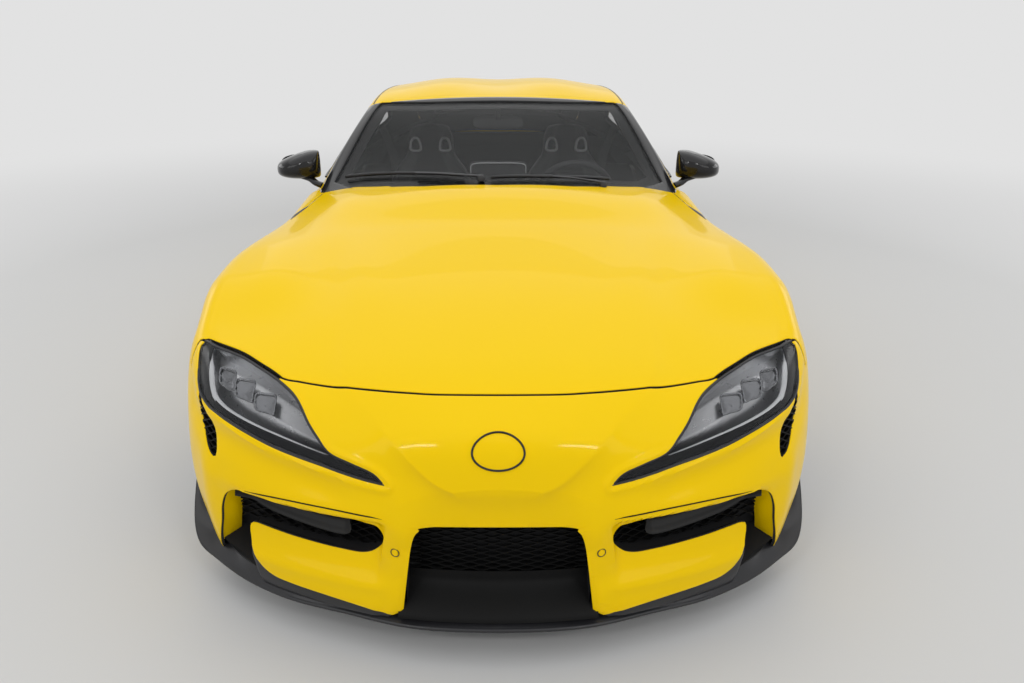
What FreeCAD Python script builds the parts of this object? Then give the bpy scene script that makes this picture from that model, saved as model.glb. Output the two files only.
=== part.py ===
"""Two-seat coupe car with a lift-up tail, in millimetres.

+Z is up, the nose points to -Y, and the driver's side is +X. The origin is on the
ground under the middle of the car. Each piece is one object of the document.
"""
import FreeCAD
import Part
import Sketcher
import math
import os

from FreeCAD import Placement, Rotation, Vector

doc = FreeCAD.newDocument("coupe")

# Driving dimensions: name, value, what it is.
DIMENSIONS = (
    ("front_overhang", 930, "lip tip to front axle"),
    ("wheelbase", 2470, "front axle to rear axle"),
    ("rear_overhang", 980, "rear axle to the tail"),
    ("body_width", 1854, "over the rear wings, without mirrors"),
    ("belt_height", 930, "window sill above the ground"),
    ("roof_height", 1292, "top of the roof"),
    ("floor_height", 132, "underside of the body shell"),
    ("skin", 8, "thickness of wings and bumpers"),
    ("bonnet_thickness", 10, "bonnet skin with its hem"),
    ("door_thickness", 75, "whole door, skin to trim"),
    ("pillar_thickness", 30, "roof, pillars and window frames"),
    ("glass_inset", 6, "glass below the outer surface"),
    ("glass_thickness", 5, "all panes"),
    ("panel_gap", 5, "between a moving panel and the body"),
    ("seam", 0.3, "between fixed pieces that meet"),
    ("front_tyre_radius", 330, "255/35 R19"),
    ("rear_tyre_radius", 337, "275/35 R19"),
    ("front_tyre_width", 255, "section width"),
    ("rear_tyre_width", 275, "section width"),
    ("front_track", 1570, "between wheel centre planes"),
    ("rear_track", 1560, "between wheel centre planes"),
    ("rim_radius", 241, "bead seat of a 19 inch rim"),
    ("rim_wall", 11, "barrel wall"),
    ("spoke_windows", 10, "openings in the wheel face"),
    ("flange_height", 12, "rim flange above the bead seat"),
    ("rim_inset", 12.5, "rim narrower than the tyre, each side"),
    ("disc_radius", 170, "brake disc"),
    ("disc_thickness", 28, "brake disc"),
    ("disc_offset", 10, "wheel centre plane to the disc"),
    ("hub_face", 46, "wheel centre plane to the hub face"),
    ("kingpin_offset", 10, "kingpin inboard of the wheel centre plane"),
    ("post_radius", 15, "upright"),
    ("arm_thickness", 20, "suspension arms"),
    ("arm_half_width", 25, "suspension arms near the wheel"),
    ("arm_offset", 172, "wheel centre to the nearer face of an arm"),
    ("stub_radius", 21, "stub axle"),
    ("running_gap", 0.1, "between a shaft and its bore"),
    ("arch_clearance", 42, "tyre to wheel arch"),
    ("wheel_well_wall", 6, "wheelhouse sheet"),
    ("wheel_well_depth", 442, "wheelhouse inboard wall, from the side of the car"),
    ("kingpin_radius", 10, "ball joint pin"),
    ("hinge_pin_radius", 6, "door, bonnet and tailgate hinge pins"),
    ("lip_thickness", 24, "splitter plate"),
    ("floor_thickness", 25, "floor with its sound deadening"),
    ("engine_width", 500, "over the cylinder heads"),
    ("engine_length", 620, "front pulley to bellhousing"),
    ("engine_height", 500, "sump to inlet"),
    ("seat_x", 370, "middle of the car to the middle of a seat"),
    ("seat_width", 500, "across the side bolsters"),
    ("steering_wheel_radius", 178, "to the middle of the rim tube"),
    ("exhaust_radius", 52, "tail pipe outside"),
    ("jack_pad_length", 60, "along the sill"),
    ("jack_pad_width", 50, "across the sill"),
    ("jack_pad_drop", 6, "below the sill"),
    ("grille_bar", 5, "height of one bar"),
    ("grille_pitch", 16, "bar to bar"),
)

sheet = doc.addObject("Spreadsheet::Sheet", "Dimensions")
for row, (alias, value, note) in enumerate(DIMENSIONS, start=1):
    sheet.set(f"A{row}", alias)
    sheet.set(f"B{row}", str(value))
    sheet.set(f"C{row}", note)
    sheet.setAlias(f"B{row}", alias)
DERIVED = (
    ("overall_length", "=front_overhang + wheelbase + rear_overhang"),
    ("front_axle_y", "=front_overhang - overall_length / 2"),
    ("rear_axle_y", "=front_axle_y + wheelbase"),
    ("front_wheel_x", "=front_track / 2"),
    ("rear_wheel_x", "=rear_track / 2"),
    ("floor_top", "=floor_height + floor_thickness"),
)
for row, (alias, formula) in enumerate(DERIVED, start=len(DIMENSIONS) + 1):
    sheet.set(f"A{row}", alias)
    sheet.set(f"B{row}", formula)
    sheet.setAlias(f"B{row}", alias)
doc.recompute()
names = [row[0] for row in DIMENSIONS] + [row[0] for row in DERIVED]
size = {alias: float(getattr(sheet, alias)) for alias in names}

# The drawing that the stations, half widths and heights below are read from.
DRAWN_LIP, DRAWN_FRONT_AXLE, DRAWN_REAR_AXLE, DRAWN_TAIL = 30, 960, 3430, 4410
DRAWN_HALF, DRAWN_BELT, DRAWN_ROOF = 927, 930, 1292

overall_length = size["overall_length"]
lip_y = -overall_length / 2
front_axle_y = size["front_axle_y"]
rear_axle_y = size["rear_axle_y"]
floor_top = size["floor_top"]
half_width = size["body_width"] / 2
seam = size["seam"]
gap = size["panel_gap"]
front_arch = size["front_tyre_radius"] + size["arch_clearance"]
rear_arch = size["rear_tyre_radius"] + size["arch_clearance"] - 2
FAR = 3000


def at(station):
    """Y of a drawn station, stretched between lip, axles and tail."""
    if station <= DRAWN_FRONT_AXLE:
        share = (DRAWN_FRONT_AXLE - station) / (DRAWN_FRONT_AXLE - DRAWN_LIP)
        return front_axle_y - share * size["front_overhang"]
    if station <= DRAWN_REAR_AXLE:
        share = (station - DRAWN_FRONT_AXLE) / (DRAWN_REAR_AXLE - DRAWN_FRONT_AXLE)
        return front_axle_y + share * size["wheelbase"]
    share = (station - DRAWN_REAR_AXLE) / (DRAWN_TAIL - DRAWN_REAR_AXLE)
    return rear_axle_y + share * size["rear_overhang"]


def out(half):
    """Half width at the present body width."""
    return half + half_width - DRAWN_HALF if half > 0 else 0.0


def up(height):
    """Height, stretched below the window sill and between sill and roof."""
    if height <= DRAWN_BELT:
        return height * size["belt_height"] / DRAWN_BELT
    share = (height - DRAWN_BELT) / (DRAWN_ROOF - DRAWN_BELT)
    return size["belt_height"] + share * (size["roof_height"] - size["belt_height"])


# Lower body. Columns: station, sill half width, waist half width, waist height,
# shoulder half width, shoulder height, crown height.
HULL = (
    (72, 290, 300, 330, 250, 470, 520),
    (112, 420, 440, 380, 350, 560, 618),
    (175, 580, 605, 410, 500, 610, 664),
    (280, 745, 780, 440, 680, 668, 712),
    (430, 850, 895, 480, 815, 712, 757),
    (680, 880, 918, 560, 874, 768, 815),
    (960, 885, 922, 610, 882, 800, 863),
    (1300, 870, 912, 620, 870, 822, 915),
    (1700, 855, 895, 610, 850, 850, 945),
    (2200, 845, 886, 580, 836, 882, 940),
    (2750, 850, 893, 590, 838, 900, 950),
    (3150, 865, 917, 610, 855, 905, 960),
    (3430, 870, 927, 620, 865, 908, 965),
    (3850, 845, 905, 640, 825, 912, 968),
    (4150, 770, 835, 640, 755, 918, 968),
    (4310, 680, 742, 630, 668, 915, 960),
    (4410, 560, 620, 590, 560, 800, 830),
)
# Upper body. Columns: station, base half width, base height, edge half width,
# edge height, crown height.
GREENHOUSE = (
    (1560, 800, 780, 760, 810, 955),
    (1810, 800, 860, 745, 915, 1060),
    (2230, 800, 900, 575, 1165, 1232),
    (2620, 790, 900, 545, 1215, 1292),
    (3020, 760, 900, 530, 1190, 1266),
    (3430, 700, 900, 500, 1105, 1190),
    (3830, 640, 900, 480, 1015, 1092),
    (4130, 600, 900, 480, 962, 1022),
    (4320, 580, 900, 505, 955, 1003),
)
NOSE_STATION, TAIL_STATION = 600, 4000


def hull_wire(row, side, top):
    station, sill, waist, waist_z, shoulder, shoulder_z, crown_z = row
    y = at(station)
    if station < NOSE_STATION:
        y += side
    if station > TAIL_STATION:
        y -= side
    bottom = size["floor_height"] if side == 0 else size["floor_height"] - FAR / 10
    lower = Vector(out(sill) - side, y, bottom)
    middle = Vector(out(waist) - side, y, up(waist_z))
    upper = Vector(out(shoulder) - side, y, up(shoulder_z) - top)
    crown = Vector(0, y, up(crown_z) - top)
    if side:
        foot = Vector(out(sill) - side, y, size["floor_height"])
    else:
        foot = lower
    left = [Vector(-p.x, p.y, p.z) for p in (lower, foot, middle, upper)]
    edges = [Part.makeLine(left[0], lower)]
    if side:
        edges.append(Part.makeLine(lower, foot))
    edges.append(Part.Arc(foot, middle, upper).toShape())
    edges.append(Part.Arc(upper, crown, left[3]).toShape())
    edges.append(Part.Arc(left[3], left[2], left[1]).toShape())
    if side:
        edges.append(Part.makeLine(left[1], left[0]))
    return Part.Wire(edges)


def hull_solid(side=0.0, top=0.0):
    """Lower body, with its side walls moved in by side and its top down by top."""
    return Part.makeLoft([hull_wire(row, side, top) for row in HULL], True, False)


def greenhouse_solid(inset=0.0):
    """Upper body, moved in by inset all round and open downwards if inset."""
    wires = []
    for station, base, base_z, edge, edge_z, crown_z in GREENHOUSE:
        y = at(station)
        if station > TAIL_STATION + 200:
            y -= inset
        foot = up(base_z) - (FAR / 15 if inset else 0)
        low = Vector(out(base) - inset, y, foot)
        high = Vector(out(edge) - inset, y, up(edge_z) - inset * 0.7)
        crown = Vector(0, y, up(crown_z) - inset)
        low_left, high_left = Vector(-low.x, y, low.z), Vector(-high.x, y, high.z)
        wires.append(
            Part.Wire(
                [
                    Part.makeLine(low_left, low),
                    Part.makeLine(low, high),
                    Part.Arc(high, crown, high_left).toShape(),
                    Part.makeLine(high_left, low_left),
                ]
            )
        )
    return Part.makeLoft(wires, True, False)


def prism(points, direction, grow=0.0):
    """A closed outline, grown sideways by grow, pushed along direction."""
    wire = Part.makePolygon([*points, points[0]])
    if grow:
        wire = wire.makeOffset2D(grow, 2)
    return Part.Face(wire).extrude(direction)


def side_prism(outline, low_x, high_x, grow=0.0):
    """Outline of (station, height) pairs, from low_x to high_x."""
    points = [Vector(low_x, at(s), up(z)) for s, z in outline]
    return prism(points, Vector(high_x - low_x, 0, 0), grow)


def plan_prism(outline, low_z, high_z, grow=0.0):
    """Outline of (half width, station) pairs, mirrored about the middle."""
    points = [Vector(out(x), at(s), low_z) for x, s in outline]
    points += [Vector(-p.x, p.y, p.z) for p in reversed(points) if p.x > 0]
    return prism(points, Vector(0, 0, high_z - low_z), grow)


def front_prism(outline, low_station, high_station, grow=0.0):
    """Outline of (half width, height) pairs on the driver's side."""
    y = at(low_station)
    points = [Vector(out(x), y, up(z)) for x, z in outline]
    return prism(points, Vector(0, at(high_station) - y, 0), grow)


def box(low, high):
    """Box between two corners."""
    span = [b - a for a, b in zip(low, high)]
    return Part.makeBox(*span, Vector(*low))


def rod(start, end, radius):
    """Round bar between two points."""
    start, end = Vector(*start), Vector(*end)
    return Part.makeCylinder(radius, (end - start).Length, start, end - start)


def mirrored(shape):
    return shape.mirror(Vector(0, 0, 0), Vector(1, 0, 0))


def both(shape):
    """The shape and its mirror image, as two solids."""
    return Part.makeCompound([*shape.Solids, *mirrored(shape).Solids])


def solids_over(shape, least):
    """The shape's solids that are larger than least, in cubic millimetres."""
    kept = [s for s in shape.Solids if s.Volume > least]
    return kept[0] if len(kept) == 1 else Part.makeCompound(kept)


def piece(name, shape):
    """A sub-part that is made with Part's own functions."""
    feature = doc.addObject("Part::Feature", name)
    feature.Label = name
    feature.Shape = shape
    return feature


def pane(space):
    """Glass inside a closed outline."""
    return glass_outside.common(space).cut(glass_inside)


SMALL = 2000.0

# Reference solids that the panels are cut from.
hull = hull_solid()
hull_thin = hull_solid(size["skin"], size["bonnet_thickness"])
hull_thick = hull_solid(size["door_thickness"], size["bonnet_thickness"] * 2)
house = greenhouse_solid()
house_inside = greenhouse_solid(size["pillar_thickness"])
glass_outside = greenhouse_solid(size["glass_inset"])
glass_inside = greenhouse_solid(size["glass_inset"] + size["glass_thickness"])
thin_shell = hull.cut(hull_thin)
thick_shell = hull.cut(hull_thick)
house_shell = house.cut(house_inside)


def well(axle_y, centre_z, radius, low_x):
    """Space for one wheel on the driver's side."""
    return rod((low_x, axle_y, centre_z), (FAR / 2, axle_y, centre_z), radius)


well_x = half_width - size["wheel_well_depth"]
front_hub_z = size["front_tyre_radius"]
rear_hub_z = size["rear_tyre_radius"]
wells = [
    well(front_axle_y, front_hub_z, front_arch, well_x),
    well(rear_axle_y, rear_hub_z, rear_arch, well_x),
]
wells += [mirrored(w) for w in wells]

# Panel outlines, read from the drawing. Side views hold (station, height) pairs.
BONNET_SIDE = (
    (150, 560), (560, 700), (620, 742), (1000, 766), (1550, 792), (1812, 800),
    (1812, 1150), (150, 1150),
)
BONNET_FRONT = (
    (0, 240), (210, 255), (400, 290), (580, 332), (806, 506), (860, 559), (960, 620),
    (960, 2500), (0, 2500),
)
# As it is at BONNET_EDGE_HEIGHT; the edge leans back from there on.
BONNET_REAR = (
    (0, 0), (960, 0), (960, 1484), (830, 1530), (742, 1789), (560, 1674), (300, 1572),
    (0, 1538),
)
DOOR = (
    (1590, 250), (2640, 250), (2800, 430), (2845, 700), (2835, 930), (2790, 1090),
    (2690, 1172), (2500, 1188), (2250, 1146), (2040, 1042), (1824, 905), (1818, 786),
    (1600, 780), (1580, 600),
)
DOOR_WINDOW = (
    (1925, 938), (2760, 948), (2722, 1080), (2650, 1142), (2500, 1158), (2262, 1116),
    (2070, 1016),
)
QUARTER_WINDOW = ((2880, 978), (3060, 1010), (3140, 1052), (3000, 1116), (2885, 1150))
WINDSCREEN_PLAN = (
    (0, 1575), (300, 1601), (560, 1677), (712, 1800), (528, 2262), (300, 2222), (0, 2212),
)
TAILGATE_PLAN = ((0, 3003), (480, 3003), (530, 3500), (545, 4000), (565, 4330), (0, 4330))
REAR_GLASS_PLAN = ((0, 3070), (415, 3070), (445, 3500), (440, 3960), (0, 3990))
HEADLAMP = (
    (860, 715), (830, 728), (722, 723), (647, 712), (591, 701), (541, 685), (512, 667),
    (483, 637), (457, 613), (422, 581), (367, 564), (313, 545), (285, 519), (346, 528),
    (457, 549), (574, 568), (668, 589), (753, 605), (794, 612), (829, 628), (850, 664),
)
CENTRE_INTAKE = ((0, 406), (195, 406), (215, 396), (222, 372), (234, 276), (262, 60), (0, 60))
SIDE_INTAKE = (
    (292, 394), (353, 404), (437, 412), (555, 417), (655, 422), (694, 414), (708, 380),
    (716, 322), (738, 260), (775, 180), (664, 160), (665, 209), (667, 310), (655, 320),
    (534, 319), (415, 317), (350, 319), (318, 338),
)
TAIL_LAMP = ((395, 800), (600, 856), (830, 880), (815, 800), (620, 770))
REAR_BUMPER_SIDE = (
    (3815, 60), (3815, 640), (3990, 655), (4190, 790), (4500, 790), (4500, 60),
)
DIFFUSER_REAR = ((0, 60), (470, 60), (430, 300), (300, 400), (0, 400))
SKIRT_SIDE = ((1250, 60), (3160, 60), (3160, 244), (1250, 244))

# The bonnet's rear edge leans back, so that it slides clear of the scuttle as it lifts.
BONNET_EDGE_HEIGHT = 920
BONNET_EDGE_LEAN = 0.7
bonnet_axis_y = at(1850)
bonnet_axis_z = up(830)


def leaning_prism(outline, grow=0.0):
    """Plan outline at the height of the bonnet's rear edge, leaning back upwards."""
    shift = -BONNET_EDGE_LEAN * up(BONNET_EDGE_HEIGHT)
    points = [Vector(out(x), at(s) + shift, 0) for x, s in outline]
    points += [Vector(-p.x, p.y, p.z) for p in reversed(points) if p.x > 0]
    return prism(points, Vector(0, BONNET_EDGE_LEAN * FAR, FAR), grow)


def bonnet_outline(grow):
    shape = side_prism(BONNET_SIDE, -FAR, FAR, grow)
    shape = shape.common(plan_prism(BONNET_FRONT, 0, FAR, grow))
    return shape.common(leaning_prism(BONNET_REAR, grow * math.hypot(1, BONNET_EDGE_LEAN)))


bonnet_space = bonnet_outline(0.0)
bonnet_cut = bonnet_outline(gap)
door_space = side_prism(DOOR, 0, FAR)
door_cut = side_prism(DOOR, 0, FAR, gap)
door_cuts = [door_cut, mirrored(door_cut)]
tailgate_space = plan_prism(TAILGATE_PLAN, 0, FAR)
tailgate_cut = plan_prism(TAILGATE_PLAN, 0, FAR, gap)
cabin_space = house_inside
nose_half = box((-FAR, -FAR, 0), (FAR, at(575), FAR))
behind_nose = box((-FAR, at(575) + seam, 0), (FAR, FAR, FAR))
skirt_space = side_prism(SKIRT_SIDE, -FAR, FAR)


def outer(shape, *tools):
    """The shape less each tool in turn."""
    for tool in tools:
        shape = shape.cut(tool)
    return shape


# Bonnet, wings and nose.
bonnet = thin_shell.common(bonnet_space)
headlamp_space = front_prism(HEADLAMP, 0, 700)
headlamp_cut = front_prism(HEADLAMP, 0, 700, seam)
intakes = [
    plan_free
    for plan_free in (
        front_prism(CENTRE_INTAKE, 0, 400),
        mirrored(front_prism(CENTRE_INTAKE, 0, 400)),
        front_prism(SIDE_INTAKE, 0, 640),
        mirrored(front_prism(SIDE_INTAKE, 0, 640)),
    )
]
front_bumper = outer(
    thin_shell.common(nose_half),
    bonnet_cut,
    headlamp_cut,
    mirrored(headlamp_cut),
    *intakes,
    *wells,
)
hull_deep = hull_solid(60, 60)
headlamp = outer(hull.cut(hull_deep).common(headlamp_space), bonnet_cut, wells[0])
WING_SIDE = ((300, 100), (1592, 100), (1900, 784), (1900, 900), (300, 900))
wing_space = behind_nose.common(side_prism(WING_SIDE, 0, FAR))
wing = outer(
    thin_shell.common(wing_space),
    house,
    bonnet_cut,
    door_cut,
    skirt_space,
    headlamp_cut,
    *wells[:2],
)
piece("front_bumper", solids_over(front_bumper, SMALL))
piece("headlamps", both(solids_over(headlamp, SMALL)))
piece("front_wings", both(solids_over(wing, SMALL)))

# Doors with their window frames.
door_lower = outer(thick_shell.common(door_space), cabin_space)
door_upper = house_shell.common(door_space).cut(side_prism(DOOR_WINDOW, 0, FAR))
door = door_lower.fuse(door_upper)
door_pane = pane(side_prism(DOOR_WINDOW, 0, FAR, -seam))
piece("door_glass_left", solids_over(door_pane, SMALL))
piece("door_glass_right", mirrored(solids_over(door_pane, SMALL)))

# Roof with its pillars.
windscreen_space = plan_prism(WINDSCREEN_PLAN, 0, FAR)
ROOF_RAIL = 485
roof_space = box((-FAR, at(1568), up(800)), (FAR, at(2862), FAR)).fuse(
    box((-out(ROOF_RAIL), at(2800), up(1000)), (out(ROOF_RAIL), at(2992), FAR))
)
quarter_window_cut = side_prism(QUARTER_WINDOW, -FAR, FAR)
roof = outer(
    house_shell.common(roof_space),
    windscreen_space,
    bonnet_cut,
    *door_cuts,
)

# Rear wings, one pressing with the tail panel, and the sills.
rear_space = box((-FAR, at(2600), up(244) + seam), (FAR, at(4600), up(1300)))
bumper_space = side_prism(REAR_BUMPER_SIDE, -FAR, FAR)
bumper_cut = side_prism(REAR_BUMPER_SIDE, -FAR, FAR, seam)
tail_lamp_space = front_prism(TAIL_LAMP, 3900, 4600)
tail_lamp_cut = front_prism(TAIL_LAMP, 3900, 4600, seam)
behind_roof = box((-FAR, at(2862) + seam, 0), (FAR, FAR, FAR))
rear_lower = outer(thick_shell.common(rear_space), cabin_space, *door_cuts)
rear_upper = house_shell.common(behind_roof)
rear_wings = outer(
    rear_lower.fuse(rear_upper),
    tailgate_cut,
    bumper_cut,
    quarter_window_cut,
    tail_lamp_cut,
    mirrored(tail_lamp_cut),
    box((-FAR, at(2600), up(880)), (FAR, at(2862) + seam, FAR)),
    box(
        (-out(ROOF_RAIL) - seam, at(2800), up(980)),
        (out(ROOF_RAIL) + seam, at(3010), FAR),
    ),
    *wells,
)
piece("rear_wings", solids_over(rear_wings, SMALL))
sheet_wall = size["wheel_well_wall"]
driver_half = box((0, -FAR, 0), (FAR, FAR, FAR))
sills = outer(
    thick_shell.common(skirt_space).common(driver_half),
    well(front_axle_y, front_hub_z, front_arch + sheet_wall + seam, well_x),
    wells[1],
    cabin_space,
)
# Rubber pads under the sills, where a jack or a lift arm goes.
JACK_STATIONS = (1500, 2950)
JACK_X = 825
pad_length, pad_width, pad_drop = (size[f"jack_pad_{word}"] for word in ("length", "width", "drop"))
floor_height = size["floor_height"]
sills = solids_over(sills, SMALL)
for station in JACK_STATIONS:
    low = (out(JACK_X) - pad_width / 2, at(station) - pad_length / 2, floor_height - pad_drop)
    high = (out(JACK_X) + pad_width / 2, at(station) + pad_length / 2, floor_height + 2)
    sills = sills.fuse(box(low, high))
piece("sills", both(sills))

# Fixed glass.
windscreen = pane(plan_prism(WINDSCREEN_PLAN, 0, FAR, -seam))
quarter_pane = pane(side_prism(QUARTER_WINDOW, 0, FAR, -seam))
piece(
    "fixed_glass",
    Part.makeCompound([*solids_over(windscreen, SMALL).Solids, *both(quarter_pane).Solids]),
)

# Tailgate with its pane.
tailgate = house_shell.common(tailgate_space).cut(plan_prism(REAR_GLASS_PLAN, 0, FAR))
tailgate_pane = pane(plan_prism(REAR_GLASS_PLAN, 0, FAR, -seam))
piece("tailgate_glass", solids_over(tailgate_pane, SMALL))

# Rear bumper.
tail_inside = hull_solid(18, 18)
tail_skin = hull.cut(tail_inside)
rear_bumper = outer(
    tail_skin.common(bumper_space),
    tail_lamp_cut,
    mirrored(tail_lamp_cut),
    front_prism(DIFFUSER_REAR, 4100, 4600),
    mirrored(front_prism(DIFFUSER_REAR, 4100, 4600)),
    *wells,
)
piece("rear_bumper", solids_over(rear_bumper, SMALL))
tail_lamp = hull.cut(hull_deep).common(tail_lamp_space)
piece("tail_lamps", both(solids_over(tail_lamp, SMALL)))

# Lip, grilles and the trim in the side intakes.
LIP_PLAN = (
    (0, 30), (161, 37), (268, 55), (408, 97), (553, 143), (655, 193), (773, 268),
    (868, 350), (915, 440), (920, 575), (880, 575), (880, 560), (0, 560),
)
LIP_WING = ((360, 100), (575, 100), (575, 352), (545, 346), (470, 250), (420, 180))
VANE = ((305, 366), (312.4, 350), (710.5, 362), (708.3, 378))
lip_bottom = size["floor_height"] - size["lip_thickness"]
lip_shell = hull_solid(-size["skin"] - 4, -size["skin"]).cut(hull)
lip_wing = side_prism(LIP_WING, 0, FAR)
lip = plan_prism(LIP_PLAN, lip_bottom, size["floor_height"])
lip = lip.fuse(lip_shell.common(lip_wing.fuse(mirrored(lip_wing))))
piece("front_lip", outer(lip, *wells[:1], wells[2]))

grille_spaces = [front_prism(SIDE_INTAKE, 0, 640, 8)]
grille_spaces += [mirrored(grille_spaces[0])]
centre_outline = [Vector(out(x), at(0), up(z)) for x, z in CENTRE_INTAKE]
centre_outline += [Vector(-p.x, p.y, p.z) for p in reversed(centre_outline) if p.x > 0]
grille_spaces += [prism(centre_outline, Vector(0, at(300) - at(0), 0), 8)]
above_floor = box((-FAR, -FAR, floor_top + seam), (FAR, FAR, FAR))
grilles = [
    solids_over(outer(hull_thin.common(space).common(above_floor), hull_deep), SMALL)
    for space in grille_spaces
]
# Slots between the bars. Columns: inner half width, outer half width, lowest slot, highest slot.
SLOT_FIELDS = ((-190, 190, 250, 385), (352, 640, 332, 400))


def slots(low_x, high_x, low_z, high_z):
    """Level slots one pitch apart, as deep as the nose."""
    pitch, bar = size["grille_pitch"], size["grille_bar"]
    count = int((up(high_z) - up(low_z)) / pitch)
    places = [up(low_z) + index * pitch for index in range(count)]
    return [box((low_x, at(0), z), (high_x, at(400), z + pitch - bar)) for z in places]


centre_slots = slots(*SLOT_FIELDS[0])
side_slots = slots(*SLOT_FIELDS[1])
grilles[0] = outer(grilles[0], *side_slots)
grilles[1] = outer(grilles[1], *(mirrored(slot) for slot in side_slots))
grilles[2] = outer(grilles[2], *centre_slots)
piece("grilles", Part.makeCompound(grilles))
vane = thin_shell.common(front_prism(VANE, 0, 640))
piece("intake_vanes", both(solids_over(vane, SMALL)))

# Bonnet hinges: goosenecks that turn about pins under the scuttle.
HINGE_X = 640.0
NECK_THICKNESS = 28.0
NECK_RADII = (176.0, 194.0)
NECK_ANGLES = (-52.0, 40.0)
EYE_RADIUS = 14.0
SCUTTLE_SIDE_X = 705.0
pin_radius = size["hinge_pin_radius"]
running_gap = size["running_gap"]


def sector(centre_y, centre_z, radii, angles, low_x, high_x):
    """Part of a ring about an axis along X; angles from -Y towards +Z."""
    ring = rod((low_x, centre_y, centre_z), (high_x, centre_y, centre_z), radii[1])
    if radii[0]:
        ring = ring.cut(
            rod((low_x - 1, centre_y, centre_z), (high_x + 1, centre_y, centre_z), radii[0])
        )
    reach = 3 * radii[1]
    middle = sum(angles) / 2
    points = [Vector(low_x, centre_y, centre_z)]
    for angle in (angles[0], middle, angles[1]):
        turn = math.radians(angle)
        y = centre_y - reach * math.cos(turn)
        points.append(Vector(low_x, y, centre_z + reach * math.sin(turn)))
    return ring.common(prism(points, Vector(high_x - low_x, 0, 0)))


def gooseneck(middle_x):
    low_x, high_x = middle_x - NECK_THICKNESS / 2, middle_x + NECK_THICKNESS / 2
    y, z = bonnet_axis_y, bonnet_axis_z
    neck = sector(y, z, NECK_RADII, NECK_ANGLES, low_x, high_x)
    root_angles = (NECK_ANGLES[0], NECK_ANGLES[0] + 7)
    link = sector(y, z, (0.0, NECK_RADII[1]), root_angles, low_x, high_x)
    neck = neck.fuse([link, rod((low_x, y, z), (high_x, y, z), EYE_RADIUS)])
    neck = neck.cut(rod((low_x, y, z), (high_x, y, z), pin_radius + running_gap))
    return neck.common(hull)


bonnet = solids_over(bonnet, SMALL)
bonnet = bonnet.fuse([gooseneck(HINGE_X), gooseneck(-HINGE_X)])
piece("bonnet", bonnet)

hinge_seats = []
for side in (-1, 1):
    start, end = side * (HINGE_X + NECK_THICKNESS / 2 + 0.5), side * SCUTTLE_SIDE_X
    y, z = bonnet_axis_y, bonnet_axis_z
    hinge_seats.append(rod((start, y, z), (end, y, z), EYE_RADIUS))
    pin_end = side * (HINGE_X - NECK_THICKNESS / 2 - 4)
    hinge_seats.append(rod((pin_end, y, z), (end, y, z), pin_radius))
    side_low, side_high = sorted((side * (SCUTTLE_SIDE_X - 5), side * (SCUTTLE_SIDE_X + 7)))
    hinge_seats.append(
        box((side_low, at(1640), up(650)), (side_high, at(1868), up(848)))
    )

carrier_beam = box((-250, at(146), up(400)), (250, at(180), up(470)))
carrier_posts = [
    box((x - 20, at(150), floor_top), (x + 20, at(180), up(470))) for x in (-230, 230)
]
piece("front_carrier", carrier_beam.fuse(carrier_posts))

# Floor, wheelhouses and bulkheads in one.
floor_slab = hull_thin.common(
    box((-FAR, at(112), size["floor_height"]), (FAR, at(575), floor_top))
)
floor_slab = floor_slab.fuse(
    hull_thick.common(
        box((-FAR, at(575), size["floor_height"]), (FAR, at(3815), floor_top))
    )
)
floor_slab = floor_slab.fuse(
    tail_inside.common(
        box((-FAR, at(3815), size["floor_height"]), (FAR, at(4340), floor_top))
    )
)
houses, house_spaces = [], []
for axle_y, hub_z, radius, reach in (
    (front_axle_y, front_hub_z, front_arch, hull_thin),
    (rear_axle_y, rear_hub_z, rear_arch, hull_thick),
):
    drum = rod(
        (well_x - sheet_wall, axle_y, hub_z), (half_width, axle_y, hub_z), radius + sheet_wall
    )
    drum = drum.common(reach).common(box((0, -FAR, size["floor_height"]), (FAR, FAR, FAR)))
    houses += [drum, mirrored(drum)]
    window = box((well_x - 60, axle_y - 75, 0), (well_x + sheet_wall, axle_y + 75, hub_z + 225))
    house_spaces += [window, mirrored(window)]
firewall = box((-735, at(1640), floor_top), (735, at(1652), up(760)))
scuttle = box((-735, at(1640), up(650)), (735, at(1900), up(660)))
bulkhead = box((-700, at(2940), floor_top), (700, at(2952), up(560)))
luggage_floor = box((-480, at(2940), up(548)), (480, at(4050), up(560)))
luggage_rear = box((-480, at(4038), floor_top), (480, at(4050), up(560)))
A_POST_X = 740.0
hinge_posts = [
    box((min(x, x + w), at(1560), floor_top), (max(x, x + w), at(1652), up(740)))
    for x, w in ((-A_POST_X, 40), (A_POST_X, -40))
]
underbody = floor_slab.fuse(
    [
        *houses,
        firewall,
        scuttle,
        *hinge_seats,
        *hinge_posts,
        bulkhead,
        luggage_floor,
        luggage_rear,
    ]
)
underbody = outer(underbody, *wells, *house_spaces)

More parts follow.
